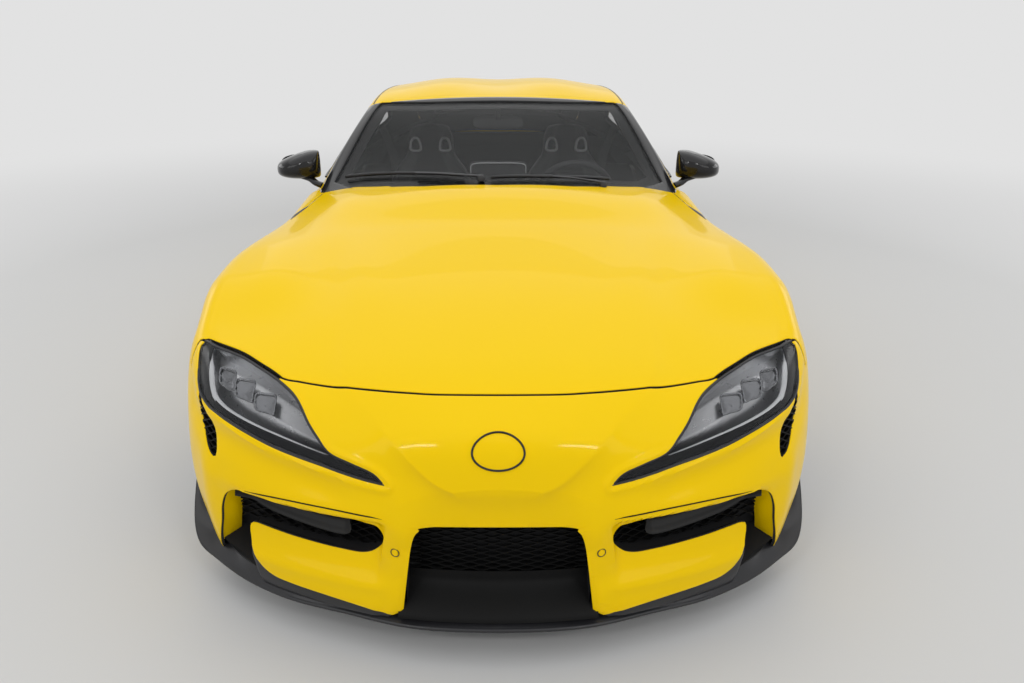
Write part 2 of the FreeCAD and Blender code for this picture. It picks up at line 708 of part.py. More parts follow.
# Door hinges: arms on the body, pins in the doors.
DOOR_HINGE_HEIGHTS = (360.0, 640.0)
door_axis_x = out(868)
door_axis_y = at(1590) + gap + 95
HINGE_ARM = 30.0
HINGE_EYE = 12.0
NOTCH_HALF = 21.0
for height in DOOR_HINGE_HEIGHTS:
    low_z, high_z = up(height) - HINGE_ARM / 2, up(height) + HINGE_ARM / 2
    arm = box(
        (A_POST_X - 40, door_axis_y - HINGE_EYE, low_z), (door_axis_x, door_axis_y + HINGE_EYE, high_z)
    )
    arm = arm.fuse(
        [
            rod((door_axis_x, door_axis_y, low_z), (door_axis_x, door_axis_y, high_z), HINGE_EYE),
            box((A_POST_X - 40, at(1640), low_z), (A_POST_X, door_axis_y + HINGE_EYE, high_z)),
        ]
    )
    arm = arm.cut(
        rod(
            (door_axis_x, door_axis_y, low_z - 1),
            (door_axis_x, door_axis_y, high_z + 1),
            pin_radius + running_gap,
        )
    )
    underbody = underbody.fuse([arm, mirrored(arm)])
    notch = box(
        (A_POST_X - 60, at(1500), up(height) - NOTCH_HALF),
        (door_axis_x + HINGE_EYE + 2, door_axis_y + HINGE_EYE + 5, up(height) + NOTCH_HALF),
    )
    door = door.cut(notch)
    door = door.fuse(
        rod(
            (door_axis_x, door_axis_y, up(height) - NOTCH_HALF - 2),
            (door_axis_x, door_axis_y, up(height) + NOTCH_HALF + 2),
            pin_radius,
        )
    )
piece("underbody", underbody)
door = solids_over(door, SMALL)
piece("door_left", door)
piece("door_right", mirrored(door))

# Tailgate hinges in notches of the roof's rear edge.
TAILGATE_HINGE_X = 170.0
TAILGATE_EYE = 9.0
TAILGATE_PIN = 4.0
tailgate_axis_y = at(2986)
tailgate_axis_z = up(1257)
tailgate = solids_over(tailgate, SMALL)
roof = solids_over(roof, SMALL)
for x in (-TAILGATE_HINGE_X, TAILGATE_HINGE_X):
    y, z = tailgate_axis_y, tailgate_axis_z
    eye = rod((x - 12, y, z), (x + 12, y, z), TAILGATE_EYE)
    eye = eye.fuse(box((x - 12, y, z - TAILGATE_EYE), (x + 12, at(3003) + 12, z + 5)))
    eye = eye.cut(rod((x - 12, y, z), (x + 12, y, z), TAILGATE_PIN + running_gap))
    tailgate = tailgate.fuse(eye)
    roof = roof.cut(box((x - 14, y - 15, z - 60), (x + 14, y + 40, z + 60)))
    roof = roof.fuse(rod((x - 18, y, z), (x + 18, y, z), TAILGATE_PIN))
piece("tailgate", tailgate)
piece("roof", roof)

# Mirrors on the doors, wipers at the foot of the windscreen.
# Columns: half width, front station, back station, low height, high height.
MIRROR_SECTIONS = (
    (806, 1908, 1945, 936, 972),
    (850, 1868, 1952, 928, 1012),
    (920, 1862, 1956, 932, 1026),
    (966, 1885, 1955, 946, 1016),
    (986, 1925, 1953, 962, 998),
)
mirror_wires = []
for x, front, back, low, high in MIRROR_SECTIONS:
    bottom = Vector(out(x), at(back), up(low))
    top = Vector(out(x), at(back), up(high))
    nose = Vector(out(x), at(front), up((low + high) / 2))
    mirror_wires.append(
        Part.Wire([Part.makeLine(bottom, top), Part.Arc(top, nose, bottom).toShape()])
    )
mirror = Part.makeLoft(mirror_wires, True, False)
stalk = prism(
    [
        Vector(out(x), at(1895), up(z))
        for x, z in ((780, 865), (835, 865), (880, 960), (835, 960))
    ],
    Vector(0, 42, 0),
)
mirror = outer(mirror.fuse(stalk), door, hull, house)
mirror = solids_over(mirror, SMALL)
piece("mirror_left", mirror)
piece("mirror_right", mirrored(mirror))

wiper_outside = greenhouse_solid(-12)
wiper_space = greenhouse_solid(size["glass_inset"] - seam)
WIPERS = (
    ((-60, 1640), (-45, 1652), (-560, 1790), (-566, 1778)),
    ((60, 1628), (70, 1640), (-30, 1648), (420, 1745), (424, 1733)),
)
wiper_parts = []
for outline in WIPERS:
    points = [Vector(x, at(s), up(800)) for x, s in outline]
    wiper_parts.append(prism(points, Vector(0, 0, 600)))
wipers = [solids_over(outer(wiper_outside.common(w), wiper_space), 500) for w in wiper_parts]
piece("wipers", Part.makeCompound(wipers))

# Cabin.
inner_space = greenhouse_solid(size["pillar_thickness"] + 3)
DASH = (
    (1880, 660), (1880, 905), (2010, 880), (2065, 800), (2050, 720), (1960, 640), (1901, 640),
    (1901, 660),
)
dash = side_prism(DASH, -690, 690).common(inner_space)
console = box((-120, at(1652), floor_top), (120, at(2800), up(400)))
console = console.fuse(
    side_prism(((1902, 300), (1902, 760), (2040, 760), (2140, 500), (2160, 300)), -120, 120)
)
dashboard = dash.fuse(console)
piece("dashboard", dashboard)

SEAT_BASE = ((2160, 0), (2160, 190), (2220, 225), (2560, 190), (2640, 190), (2700, 0))
SEAT_BACK = (
    (2560, 190), (2520, 260), (2700, 780), (2760, 900), (2830, 900), (2800, 700), (2690, 190),
)
# The hollow between the bolsters, from the knees up the back.
SEAT_HOLLOW = (
    (2100, 200), (2240, 190), (2540, 150), (2720, 640), (2720, 800), (2400, 800), (2100, 500),
)
BOLSTER = 60
seat_x, seat_width = size["seat_x"], size["seat_width"]
low_x, high_x = seat_x - seat_width / 2, seat_x + seat_width / 2
cushion = prism(
    [Vector(low_x, at(s), floor_top + z) for s, z in SEAT_BASE], Vector(seat_width, 0, 0)
)
back = prism(
    [Vector(low_x + 20, at(s), floor_top + z) for s, z in SEAT_BACK], Vector(seat_width - 40, 0, 0)
)
back = back.common(
    prism(
        [
            Vector(seat_x + x, at(2400), floor_top + z)
            for x, z in ((-230, 0), (230, 0), (230, 480), (130, 910), (-130, 910), (-230, 480))
        ],
        Vector(0, at(2900) - at(2400), 0),
    )
)
seat = cushion.fuse(back)
seat = seat.cut(
    prism(
        [Vector(low_x + BOLSTER, at(s), floor_top + z) for s, z in SEAT_HOLLOW],
        Vector(seat_width - 2 * BOLSTER, 0, 0),
    )
)
piece("seats", both(solids_over(seat, SMALL)))

WHEEL_CENTRE = (370, 2210, 790)
wheel_tilt = 24.0
wheel_radius = size["steering_wheel_radius"]
rim_ring = Part.makeTorus(wheel_radius, 16)
boss = Part.makeCylinder(62, 34, Vector(0, 0, -20))
spokes = [
    Part.makeBox(wheel_radius - 40, 34, 16, Vector(45, -17, -12)),
    Part.makeBox(wheel_radius - 40, 34, 16, Vector(-wheel_radius - 5, -17, -12)),
    Part.makeBox(30, wheel_radius - 40, 16, Vector(-15, -wheel_radius - 5, -12)),
]
column = Part.makeCylinder(38, 260, Vector(0, 0, -270))
hand_wheel = rim_ring.fuse([boss, column, *spokes])
hand_wheel.Placement = Placement(
    Vector(WHEEL_CENTRE[0], at(WHEEL_CENTRE[1]), up(WHEEL_CENTRE[2])),
    Rotation(Vector(1, 0, 0), -90 + wheel_tilt).multiply(Rotation(Vector(0, 0, 1), 180)),
)
hand_wheel = solids_over(outer(hand_wheel, dashboard, firewall), SMALL)
piece("steering_wheel", hand_wheel)

# Tail: diffuser and tail pipes.
TIP_X = 82.0
TIP_Z = 262.0
PIPE_WALL = 4.0
tip_start, tip_end = at(4130), at(4400)
tail_block = outer(
    hull.common(front_prism(DIFFUSER_REAR, 4110, 4600, -seam)), hull_deep
)
diffuser = tail_block.fuse(mirrored(tail_block))
tips = []
for x in (-TIP_X, TIP_X):
    radius = size["exhaust_radius"]
    diffuser = diffuser.cut(rod((x, at(4000), TIP_Z), (x, FAR, TIP_Z), radius + seam))
    tip = rod((x, tip_start, TIP_Z), (x, tip_end, TIP_Z), radius)
    tips.append(tip.cut(rod((x, tip_start + 120, TIP_Z), (x, FAR, TIP_Z), radius - PIPE_WALL)))
piece("diffuser", solids_over(diffuser, SMALL))
piece("exhaust_tips", Part.makeCompound(tips))

# Running gear. The pieces below are bound to the sheet.
ALONG_X = Rotation(Vector(0, 1, 0), 90)
PLACES = {"x": "Placement.Base.x", "y": "Placement.Base.y", "z": "Placement.Base.z"}


def bound(kind, name, rotation=None, **links):
    """A document object whose properties follow formulas of the sheet."""
    feature = doc.addObject(kind, name)
    feature.Label = name
    if rotation:
        feature.Placement = Placement(Vector(0, 0, 0), rotation)
    for key, formula in links.items():
        feature.setExpression(PLACES.get(key, key), formula_of(formula))
    return feature


def formula_of(text):
    """Spell out each sheet name in a formula."""
    words = sorted(names, key=len, reverse=True)
    result, index = "", 0
    while index < len(text):
        word = next((w for w in words if text.startswith(w, index)), None)
        before = text[index - 1] if index else " "
        if word and not (before.isalnum() or before in "_."):
            result += "Dimensions." + word
            index += len(word)
        else:
            result += text[index]
            index += 1
    return result


def turned(name, outline, rotation):
    """A ring turned about the wheel axis from (across, radius) formulas."""
    body = doc.addObject("PartDesign::Body", name)
    body.Label = name
    sketch = body.newObject("Sketcher::SketchObject", f"{name}_profile")
    count = len(outline)
    for index in range(count):
        sketch.addGeometry(
            Part.LineSegment(
                Vector(10.0 * index, 100.0 + index, 0),
                Vector(10.0 * index + 5, 102.0 + index, 0),
            ),
            False,
        )
    for index in range(count):
        sketch.addConstraint(Sketcher.Constraint("Coincident", index, 2, (index + 1) % count, 1))
    for index, (across, radius) in enumerate(outline):
        for kind, formula in (("DistanceX", across), ("DistanceY", radius)):
            number = sketch.addConstraint(Sketcher.Constraint(kind, -1, 1, index, 1, 10.0))
            sketch.setExpression(f"Constraints[{number}]", formula_of(formula))
    ring = body.newObject("PartDesign::Revolution", f"{name}_ring")
    ring.Profile = sketch
    ring.ReferenceAxis = (sketch, ["H_Axis"])
    ring.Angle = 360.0
    body.Tip = ring
    body.Placement = Placement(Vector(0, 0, 0), rotation)
    return body


def rim_outline(width):
    """Half section of a rim, from the outer flange round to the barrel."""
    edge = f"({width} / 2 - rim_inset)"
    flange = "rim_radius + flange_height"
    bore = "stub_radius + running_gap"
    barrel = "rim_radius - rim_wall"
    return (
        (f"-{edge}", flange),
        (f"-{edge} + 8", flange),
        (f"-{edge} + 12", "rim_radius"),
        (f"{edge} - 12", "rim_radius"),
        (f"{edge} - 8", flange),
        (edge, flange),
        (edge, "rim_radius - 4"),
        (f"{edge} - 12", "rim_radius - 16"),
        (f"{edge} - 30", "74"),
        (f"{edge} - 34", "34"),
        (f"{edge} - 34", bore),
        ("hub_face", bore),
        ("hub_face", "76"),
        (f"{edge} - 52", "86"),
        (f"{edge} - 30", barrel),
        (f"-{edge}", barrel),
    )


def tyre_outline(width, radius):
    """Half section of a tyre that sits on the bead seats."""
    seat = f"({width} / 2 - rim_inset - 12.3)"
    return (
        (f"-{seat}", "rim_radius"),
        (f"{seat}", "rim_radius"),
        (f"{seat}", "rim_radius + 16"),
        (f"{width} / 2", f"{radius} - 42"),
        (f"{width} / 2 - 5", f"{radius} - 18"),
        (f"{width} / 2 - 20", f"{radius} - 4"),
        (f"{width} / 2 - 42", radius),
        (f"-{width} / 2 + 42", radius),
        (f"-{width} / 2 + 20", f"{radius} - 4"),
        (f"-{width} / 2 + 5", f"{radius} - 18"),
        (f"-{width} / 2", f"{radius} - 42"),
        (f"-{seat}", "rim_radius + 16"),
    )


DISC_OUTLINE = (
    ("disc_offset", "84"),
    ("disc_offset", "disc_radius"),
    ("disc_offset + disc_thickness", "disc_radius"),
    ("disc_offset + disc_thickness", "92"),
    ("hub_face", "92"),
    ("hub_face", "stub_radius + running_gap"),
    ("hub_face - 12", "stub_radius + running_gap"),
    ("hub_face - 12", "84"),
)
# Corners of one opening between two spokes, as (radius, half angle) pairs.
WINDOW_OUTLINE = ((88, 5.0), (205, 12.5))


def spoke_windows(rim, name):
    """Openings through the wheel face, patterned about the axle."""
    sketch = rim.newObject("Sketcher::SketchObject", f"{name}_window")
    plane = [f for f in rim.Origin.OriginFeatures if "YZ_Plane" in f.Role]
    sketch.AttachmentSupport = (plane[0], [""])
    sketch.MapMode = "FlatFace"
    corners = []
    for sign in (-1, 1):
        pairs = WINDOW_OUTLINE if sign < 0 else tuple(reversed(WINDOW_OUTLINE))
        for radius, angle in pairs:
            turn = math.radians(sign * angle)
            corners.append(Vector(radius * math.sin(turn), radius * math.cos(turn), 0))
    count = len(corners)
    for index in range(count):
        start, end = corners[index], corners[(index + 1) % count]
        sketch.addGeometry(Part.LineSegment(start, end), False)
    for index in range(count):
        sketch.addConstraint(Sketcher.Constraint("Coincident", index, 2, (index + 1) % count, 1))
    pocket = rim.newObject("PartDesign::Pocket", f"{name}_opening")
    pocket.Profile = sketch
    pocket.Length = 400.0
    pocket.Midplane = True
    pattern = rim.newObject("PartDesign::PolarPattern", f"{name}_openings")
    pattern.Originals = [pocket]
    pattern.Axis = (rim.Group[0], ["H_Axis"])
    pattern.Angle = 360.0
    pattern.setExpression("Occurrences", "Dimensions.spoke_windows")
    rim.Tip = pattern


TO_LEFT = Rotation()
TO_RIGHT = Rotation(Vector(0, 0, 1), 180)
CORNERS = (
    ("front_left", "front", 1, TO_LEFT),
    ("front_right", "front", -1, TO_RIGHT),
    ("rear_left", "rear", 1, TO_LEFT),
    ("rear_right", "rear", -1, TO_RIGHT),
)
for corner, end, sign, rotation in CORNERS:
    width, radius = f"{end}_tyre_width", f"{end}_tyre_radius"
    rim = turned(f"rim_{corner}", rim_outline(width), rotation)
    spoke_windows(rim, f"rim_{corner}")
    tyre = turned(f"tyre_{corner}", tyre_outline(width, radius), rotation)
    disc = turned(f"brake_disc_{corner}", DISC_OUTLINE, rotation)
    for body in (rim, tyre, disc):
        body.setExpression("Placement.Base.x", formula_of(f"{sign} * {end}_wheel_x"))
        body.setExpression("Placement.Base.y", formula_of(f"{end}_axle_y"))
        body.setExpression("Placement.Base.z", formula_of(radius))


def upright_parts(name, end, sign):
    """Upright with its stub axle and ball pins; the wheel turns on the stub."""
    hub_x = f"{sign} * ({end}_wheel_x)"
    pin_x = f"{sign} * ({end}_wheel_x - kingpin_offset)"
    axle, hub = f"{end}_axle_y", f"{end}_tyre_radius"
    width = f"({end}_tyre_width / 2 - rim_inset - 36)"
    parts = [
        bound("Part::Cylinder", f"{name}_post", Radius="post_radius", Height="2 * arm_offset",
              x=pin_x, y=axle, z=f"{hub} - arm_offset"),
        bound("Part::Cylinder", f"{name}_pins", Radius="kingpin_radius",
              Height="2 * (arm_offset + arm_thickness)", x=pin_x, y=axle,
              z=f"{hub} - arm_offset - arm_thickness"),
    ]
    turn = ALONG_X if sign > 0 else Rotation(Vector(0, 1, 0), -90)
    parts.append(
        bound("Part::Cylinder", f"{name}_stub", turn, Radius="stub_radius",
              Height=f"kingpin_offset + {width}", x=pin_x, y=axle, z=hub)
    )
    parts.append(
        bound("Part::Cylinder", f"{name}_boss", turn, Radius="stub_radius + 24", Height="52",
              x=f"{sign} * ({end}_wheel_x - 47)", y=axle, z=hub)
    )
    bracket_low = f"{end}_wheel_x - 47"
    parts.append(
        bound("Part::Box", f"{name}_bracket", Length="24", Width="190", Height="60",
              x=f"{sign} * ({bracket_low} + 12) - 12", y=axle, z=f"{hub} - 30")
    )
    return parts


def joined(name, parts):
    fusion = doc.addObject("Part::MultiFuse", name)
    fusion.Label = name
    fusion.Shapes = parts
    return fusion


def caliper(name, end, sign):
    """Caliper behind the axle, straddling the disc."""
    hub = f"{end}_tyre_radius"
    block = bound("Part::Box", f"{name}_block", Length="80", Width="88", Height="140",
                  x=f"{sign} * ({end}_wheel_x + 17) - 40", y=f"{end}_axle_y + 116",
                  z=f"{hub} - 70")
    slot = bound("Part::Cylinder", f"{name}_slot", ALONG_X, Radius="disc_radius + 5",
                 Height="disc_thickness + 10",
                 x=f"{sign} * ({end}_wheel_x + disc_offset + disc_thickness / 2)"
                   " - disc_thickness / 2 - 5",
                 y=f"{end}_axle_y", z=hub)
    cut = doc.addObject("Part::Cut", name)
    cut.Label = name
    cut.Base = block
    cut.Tool = slot
    return cut


def arm(name, end, sign, level):
    """Suspension arm with the ball pin's bore; level is -1 below and 1 above."""
    hub = f"{end}_tyre_radius"
    low = f"{hub} - arm_offset - arm_thickness" if level < 0 else f"{hub} + arm_offset"
    pin_x = f"({end}_wheel_x - kingpin_offset)"
    inner = ARM_INNER_X
    bar = bound("Part::Box", f"{name}_bar", Length=f"{pin_x} - {inner}",
                Width="2 * arm_half_width", Height="arm_thickness",
                x=f"{sign} * ({pin_x} + {inner}) / 2 - ({pin_x} - {inner}) / 2",
                y=f"{end}_axle_y - arm_half_width", z=low)
    eye = bound("Part::Cylinder", f"{name}_eye", Radius="arm_half_width",
                Height="arm_thickness", x=f"{sign} * {pin_x}", y=f"{end}_axle_y", z=low)
    bore = bound("Part::Cylinder", f"{name}_bore", Radius="kingpin_radius + running_gap",
                 Height="arm_thickness + 2", x=f"{sign} * {pin_x}", y=f"{end}_axle_y",
                 z=f"{low} - 1")
    cut = doc.addObject("Part::Cut", name)
    cut.Base = joined(f"{name}_blank", [bar, eye])
    cut.Tool = bore
    return cut


ARM_INNER_X = 440
for end in ("front", "rear"):
    hub = f"{end}_tyre_radius"
    frame_parts = []
    for side, sign in (("left", 1), ("right", -1)):
        frame_parts.append(arm(f"{end}_lower_arm_{side}", end, sign, -1))
        frame_parts.append(arm(f"{end}_upper_arm_{side}", end, sign, 1))
        frame_parts.append(
            bound("Part::Box", f"{end}_tower_{side}", Length="36", Width="120",
                  Height=f"{hub} + arm_offset + arm_thickness - floor_height - 6",
                  x=f"{sign} * {ARM_INNER_X + 14} - 18", y=f"{end}_axle_y - 60",
                  z="floor_height + 6")
        )
    frame_parts.append(
        bound("Part::Box", f"{end}_crossbeam", Length=f"{2 * ARM_INNER_X + 20}", Width="90",
              Height="48", x=f"-{ARM_INNER_X + 10}", y=f"{end}_axle_y - 45", z="floor_top")
    )
    if end == "rear":
        for side, sign in (("left", 1), ("right", -1)):
            frame_parts += upright_parts(f"rear_upright_{side}", end, sign)
    joined(f"{end}_subframe", frame_parts)
for side, sign in (("left", 1), ("right", -1)):
    joined(f"knuckle_{side}", upright_parts(f"knuckle_{side}", "front", sign))
    caliper(f"front_caliper_{side}", "front", sign)
    caliper(f"rear_caliper_{side}", "rear", sign)
engine = bound("Part::Box", "engine_block", Length="engine_width", Width="engine_length",
               Height="engine_height", x="-engine_width / 2", y="front_axle_y - 140",
               z="floor_top + 48")

NODES = (
    "bonnet", "front_bumper", "front_wings", "headlamps", "front_lip", "grilles",
    "intake_vanes", "front_carrier", "underbody", "engine_block", "front_subframe",
    "rear_subframe", "rear_caliper_left", "rear_caliper_right", "knuckle_left",
    "knuckle_right", "front_caliper_left", "front_caliper_right", "sills", "rear_wings",
    "roof", "fixed_glass", "wipers", "rear_bumper", "tail_lamps", "diffuser",
    "exhaust_tips", "dashboard", "steering_wheel", "seats", "door_left", "door_right",
    "door_glass_left", "door_glass_right", "mirror_left", "mirror_right", "tailgate",
    "tailgate_glass", "tyre_front_left", "tyre_front_right", "tyre_rear_left",
    "tyre_rear_right", "rim_front_left", "rim_front_right", "rim_rear_left",
    "rim_rear_right", "brake_disc_front_left", "brake_disc_front_right",
    "brake_disc_rear_left", "brake_disc_rear_right",
)

doc.recompute()
for feature in doc.Objects:
    if "Invalid" in feature.State or "Error" in feature.State:
        raise ValueError(f"{feature.Label} did not rebuild: {feature.State}")

os.makedirs("parts", exist_ok=True)
for name in NODES:
    shape = doc.getObjectsByLabel(name)[0].Shape
    if shape.isNull() or not shape.isValid():
        raise ValueError(f"{name} has no valid shape")
    shape.exportStep(f"parts/{name}.step")
    print(name, len(shape.Solids), round(shape.Volume / 1e6, 2))
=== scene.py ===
# %% [markdown]
# # A yellow two-seat coupe, seen from the front
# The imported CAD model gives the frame, the joints and the hidden metal. Everything that
# shows is a surface worked out with numpy: the bodywork is one smooth skin through the
# same sections as the CAD, and the panels are cut from it along their shut lines.

import bpy
import numpy as np
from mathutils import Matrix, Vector


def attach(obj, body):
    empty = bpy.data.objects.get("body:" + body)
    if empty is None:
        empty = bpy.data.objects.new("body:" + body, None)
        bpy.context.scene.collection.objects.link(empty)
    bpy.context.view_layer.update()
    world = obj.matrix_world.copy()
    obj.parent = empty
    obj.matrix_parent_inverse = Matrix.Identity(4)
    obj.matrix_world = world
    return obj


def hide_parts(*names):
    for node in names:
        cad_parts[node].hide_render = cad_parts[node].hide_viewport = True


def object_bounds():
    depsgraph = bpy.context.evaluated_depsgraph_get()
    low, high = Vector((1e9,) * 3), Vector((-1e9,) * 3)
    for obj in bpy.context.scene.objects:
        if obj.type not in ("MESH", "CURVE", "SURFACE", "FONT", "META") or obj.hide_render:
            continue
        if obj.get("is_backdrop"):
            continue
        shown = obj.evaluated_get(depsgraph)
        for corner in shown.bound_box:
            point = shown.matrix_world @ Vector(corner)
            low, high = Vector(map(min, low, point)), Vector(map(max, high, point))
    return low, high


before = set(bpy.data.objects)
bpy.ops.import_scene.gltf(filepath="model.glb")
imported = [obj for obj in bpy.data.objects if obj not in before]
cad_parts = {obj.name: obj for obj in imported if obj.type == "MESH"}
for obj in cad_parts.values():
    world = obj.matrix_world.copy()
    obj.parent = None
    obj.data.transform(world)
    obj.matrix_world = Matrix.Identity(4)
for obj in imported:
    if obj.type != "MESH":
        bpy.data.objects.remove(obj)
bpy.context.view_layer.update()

# %% [markdown]
# ## Mesh tools
# A surface is a grid of points. Cutting keeps the side of a mesh where a function is
# positive and puts new corners exactly on the line where it is zero, so a shut line
# stays crisp on a coarse grid.

# %%
def link(name, mesh, body="root"):
    """Put a mesh in the scene and let it ride on a body."""
    made = bpy.data.objects.new(name, mesh)
    bpy.context.scene.collection.objects.link(made)
    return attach(made, body)


def mesh_from(name, points, faces, smooth=True):
    """Mesh of points (n, 3) and faces (m, 3 or 4)."""
    points, faces = np.asarray(points, float), np.asarray(faces, int)
    mesh = bpy.data.meshes.new(name)
    mesh.vertices.add(len(points))
    mesh.vertices.foreach_set("co", points.ravel())
    count, corners = faces.shape
    mesh.loops.add(count * corners)
    mesh.loops.foreach_set("vertex_index", faces.ravel())
    mesh.polygons.add(count)
    mesh.polygons.foreach_set("loop_start", np.arange(count) * corners)
    mesh.update(calc_edges=True)
    mesh.validate()
    mesh.polygons.foreach_set("use_smooth", np.full(len(mesh.polygons), smooth))
    return mesh


def grid_faces(rows, columns, close_rows=False, close_columns=False):
    """Quads of a grid whose point (i, j) has the number i * columns + j."""
    i = np.arange(rows if close_rows else rows - 1)
    j = np.arange(columns if close_columns else columns - 1)
    i, j = np.meshgrid(i, j, indexing="ij")
    i2, j2 = (i + 1) % rows, (j + 1) % columns
    quads = np.stack([i * columns + j, i2 * columns + j, i2 * columns + j2, i * columns + j2], -1)
    return quads.reshape(-1, 4)


def split_quads(quads):
    return np.concatenate([quads[:, [0, 1, 2]], quads[:, [0, 2, 3]]])


def sheet(grid, close_columns=True):
    """Mesh of a grid of points (rows, columns, 3); each row is a ring unless said."""
    return grid.reshape(-1, 3), split_quads(grid_faces(*grid.shape[:2], False, close_columns))


def circle(count):
    """Angles of one whole turn."""
    return np.linspace(0, 2 * np.pi, count, endpoint=False)


def cut(points, triangles, value):
    """Part of a triangle mesh where value is positive, with new corners where it is 0."""
    side = value >= 0
    inside = side[triangles].sum(1)
    kept = [triangles[inside == 3]]
    new_from, new_to, pending = [], [], []
    for number in (1, 2):
        some = triangles[inside == number]
        lone = (side[some] == (number == 1)).argmax(1)
        rows = np.arange(len(some))
        a, b, c = (some[rows, (lone + k) % 3] for k in range(3))
        start = sum(map(len, new_from))
        new_from += [a, a]
        new_to += [b, c]
        pending.append((number, a, b, c, start))
    pairs = np.stack([np.concatenate(new_from), np.concatenate(new_to)], 1)
    order = np.sort(pairs, 1)
    unique, back = np.unique(order, axis=0, return_inverse=True)
    back = back.ravel() + len(points)
    share = value[unique[:, 0]] / (value[unique[:, 0]] - value[unique[:, 1]])
    added = points[unique[:, 0]] + share[:, None] * (points[unique[:, 1]] - points[unique[:, 0]])
    for number, a, b, c, start in pending:
        ab, ac = back[start : start + len(a)], back[start + len(a) : start + 2 * len(a)]
        if number == 1:
            kept.append(np.stack([a, ab, ac], 1))
        else:
            kept += [np.stack([ab, b, c], 1), np.stack([ab, c, ac], 1)]
    everything, faces = np.concatenate([points, added]), np.concatenate(kept)
    used, renumbered = np.unique(faces, return_inverse=True)
    return everything[used], renumbered.reshape(-1, 3)


def through(points, closed=False, steps=10):
    """Cubic through the points, each tangent half the step between its neighbours; a point
    that comes twice stays sharp."""
    points = np.asarray(points, float)
    if closed:
        padded = np.concatenate([points[-1:], points, points[:2]])
    else:
        before, after = 2 * points[:1] - points[1:2], 2 * points[-1:] - points[-2:-1]
        padded = np.concatenate([before, points, after])
    p0, p1, p2, p3 = (padded[k : len(padded) - 3 + k] for k in range(4))
    same = np.linalg.norm(p2 - p1, axis=1) < 1e-9
    p0 = np.where((np.linalg.norm(p1 - p0, axis=1) < 1e-9)[:, None], 2 * p1 - p2, p0)
    p3 = np.where((np.linalg.norm(p3 - p2, axis=1) < 1e-9)[:, None], 2 * p2 - p1, p3)
    t = np.linspace(0, 1, steps, endpoint=False)[None, :, None]
    p0, p1, p2, p3 = (p[~same][:, None] for p in (p0, p1, p2, p3))
    curve = 0.5 * (
        2 * p1 + (p2 - p0) * t + (2 * p0 - 5 * p1 + 4 * p2 - p3) * t**2
        + (3 * p1 - p0 - 3 * p2 + p3) * t**3
    ).reshape(-1, points.shape[1])
    return curve if closed else np.concatenate([curve, points[-1:]])


def inside_of(u, v, outline):
    """Signed distance to a closed outline, positive inside."""
    a, b = outline, np.roll(outline, -1, 0)
    keep = np.linalg.norm(b - a, axis=1) > 1e-9
    a, b = a[keep], b[keep]
    best = np.full(len(u), 1e9)
    crossings = np.zeros(len(u), int)
    for (ax, ay), (bx, by) in zip(a, b):
        dx, dy = bx - ax, by - ay
        t = np.clip(((u - ax) * dx + (v - ay) * dy) / (dx * dx + dy * dy), 0, 1)
        best = np.minimum(best, (u - ax - t * dx) ** 2 + (v - ay - t * dy) ** 2)
        if ay != by:
            crossings += ((ay > v) != (by > v)) & (u < ax + (v - ay) * dx / dy)
    return np.sqrt(best) * np.where(crossings % 2 == 1, 1, -1)


def tube(path, radius, sides=10, closed=False, flat=1.0, up=(0, 0, 1)):
    """Ring of corners carried along a path: points plus radius times (cos, sin)."""
    path = np.asarray(path, float)
    ahead = np.roll(path, -1, 0) - np.roll(path, 1, 0)
    if not closed:
        ahead[0], ahead[-1] = path[1] - path[0], path[-1] - path[-2]
    ahead /= np.linalg.norm(ahead, axis=1, keepdims=True)
    across = np.cross(ahead, up)
    across /= np.linalg.norm(across, axis=1, keepdims=True) + 1e-12
    over = np.cross(across, ahead)
    turn = circle(sides)
    radius = np.broadcast_to(np.asarray(radius, float), len(path))[:, None, None]
    ring = np.cos(turn)[None, :, None] * across[:, None] * radius
    ring = ring + np.sin(turn)[None, :, None] * over[:, None] * radius * flat
    points = (path[:, None] + ring).reshape(-1, 3)
    faces = split_quads(grid_faces(len(path), sides, closed, True))
    if closed:
        return points, faces
    first = np.arange(sides)
    last = first + (len(path) - 1) * sides
    middles = np.full(sides, len(points)), np.full(sides, len(points) + 1)
    caps = [np.stack([first, np.roll(first, -1), middles[0]], 1),
            np.stack([np.roll(last, -1), last, middles[1]], 1)]
    return np.concatenate([points, path[:1], path[-1:]]), np.concatenate([faces, *caps])


def lathe(profile, steps):
    """Profile of (along, radius) pairs turned about the X axis."""
    profile = np.asarray(profile, float)
    along, radius = np.broadcast_to(profile[:, :1], (len(profile), steps)), profile[:, 1:]
    turn = circle(steps)
    return sheet(np.stack([along, radius * np.cos(turn), radius * np.sin(turn)], -1))


def merged(*parts):
    """Several (points, triangles) pairs as one."""
    points, faces, start = [], [], 0
    for p, f in parts:
        points.append(p)
        faces.append(np.asarray(f) + start)
        start += len(p)
    return np.concatenate(points), np.concatenate(faces)


def mirror_x(part):
    points, faces = part
    return points * (-1, 1, 1), faces[:, ::-1]


def both_sides(part):
    return merged(part[:2], mirror_x(part[:2]))


def to_side(part, sign):
    """A part drawn on the left, or its mirror image for the right."""
    return part if sign > 0 else mirror_x(part)


def moved(part, place):
    points, *rest = part
    return points + place, *rest


def upright(part):
    """A lathe about X turned to stand on Z."""
    return part[0][:, [1, 2, 0]], part[1]


def power(value, exponent):
    """Power that keeps the sign; of sine and cosine it gives rounded squares."""
    return np.sign(value) * np.abs(value) ** exponent


def closed_ends(grid):
    """A tube of rings with each end ring drawn in to a fiftieth of its size."""
    ends = [ring.mean(1, keepdims=True) * 0.98 + ring * 0.02 for ring in (grid[:1], grid[-1:])]
    return np.concatenate([ends[0], grid, ends[1]])


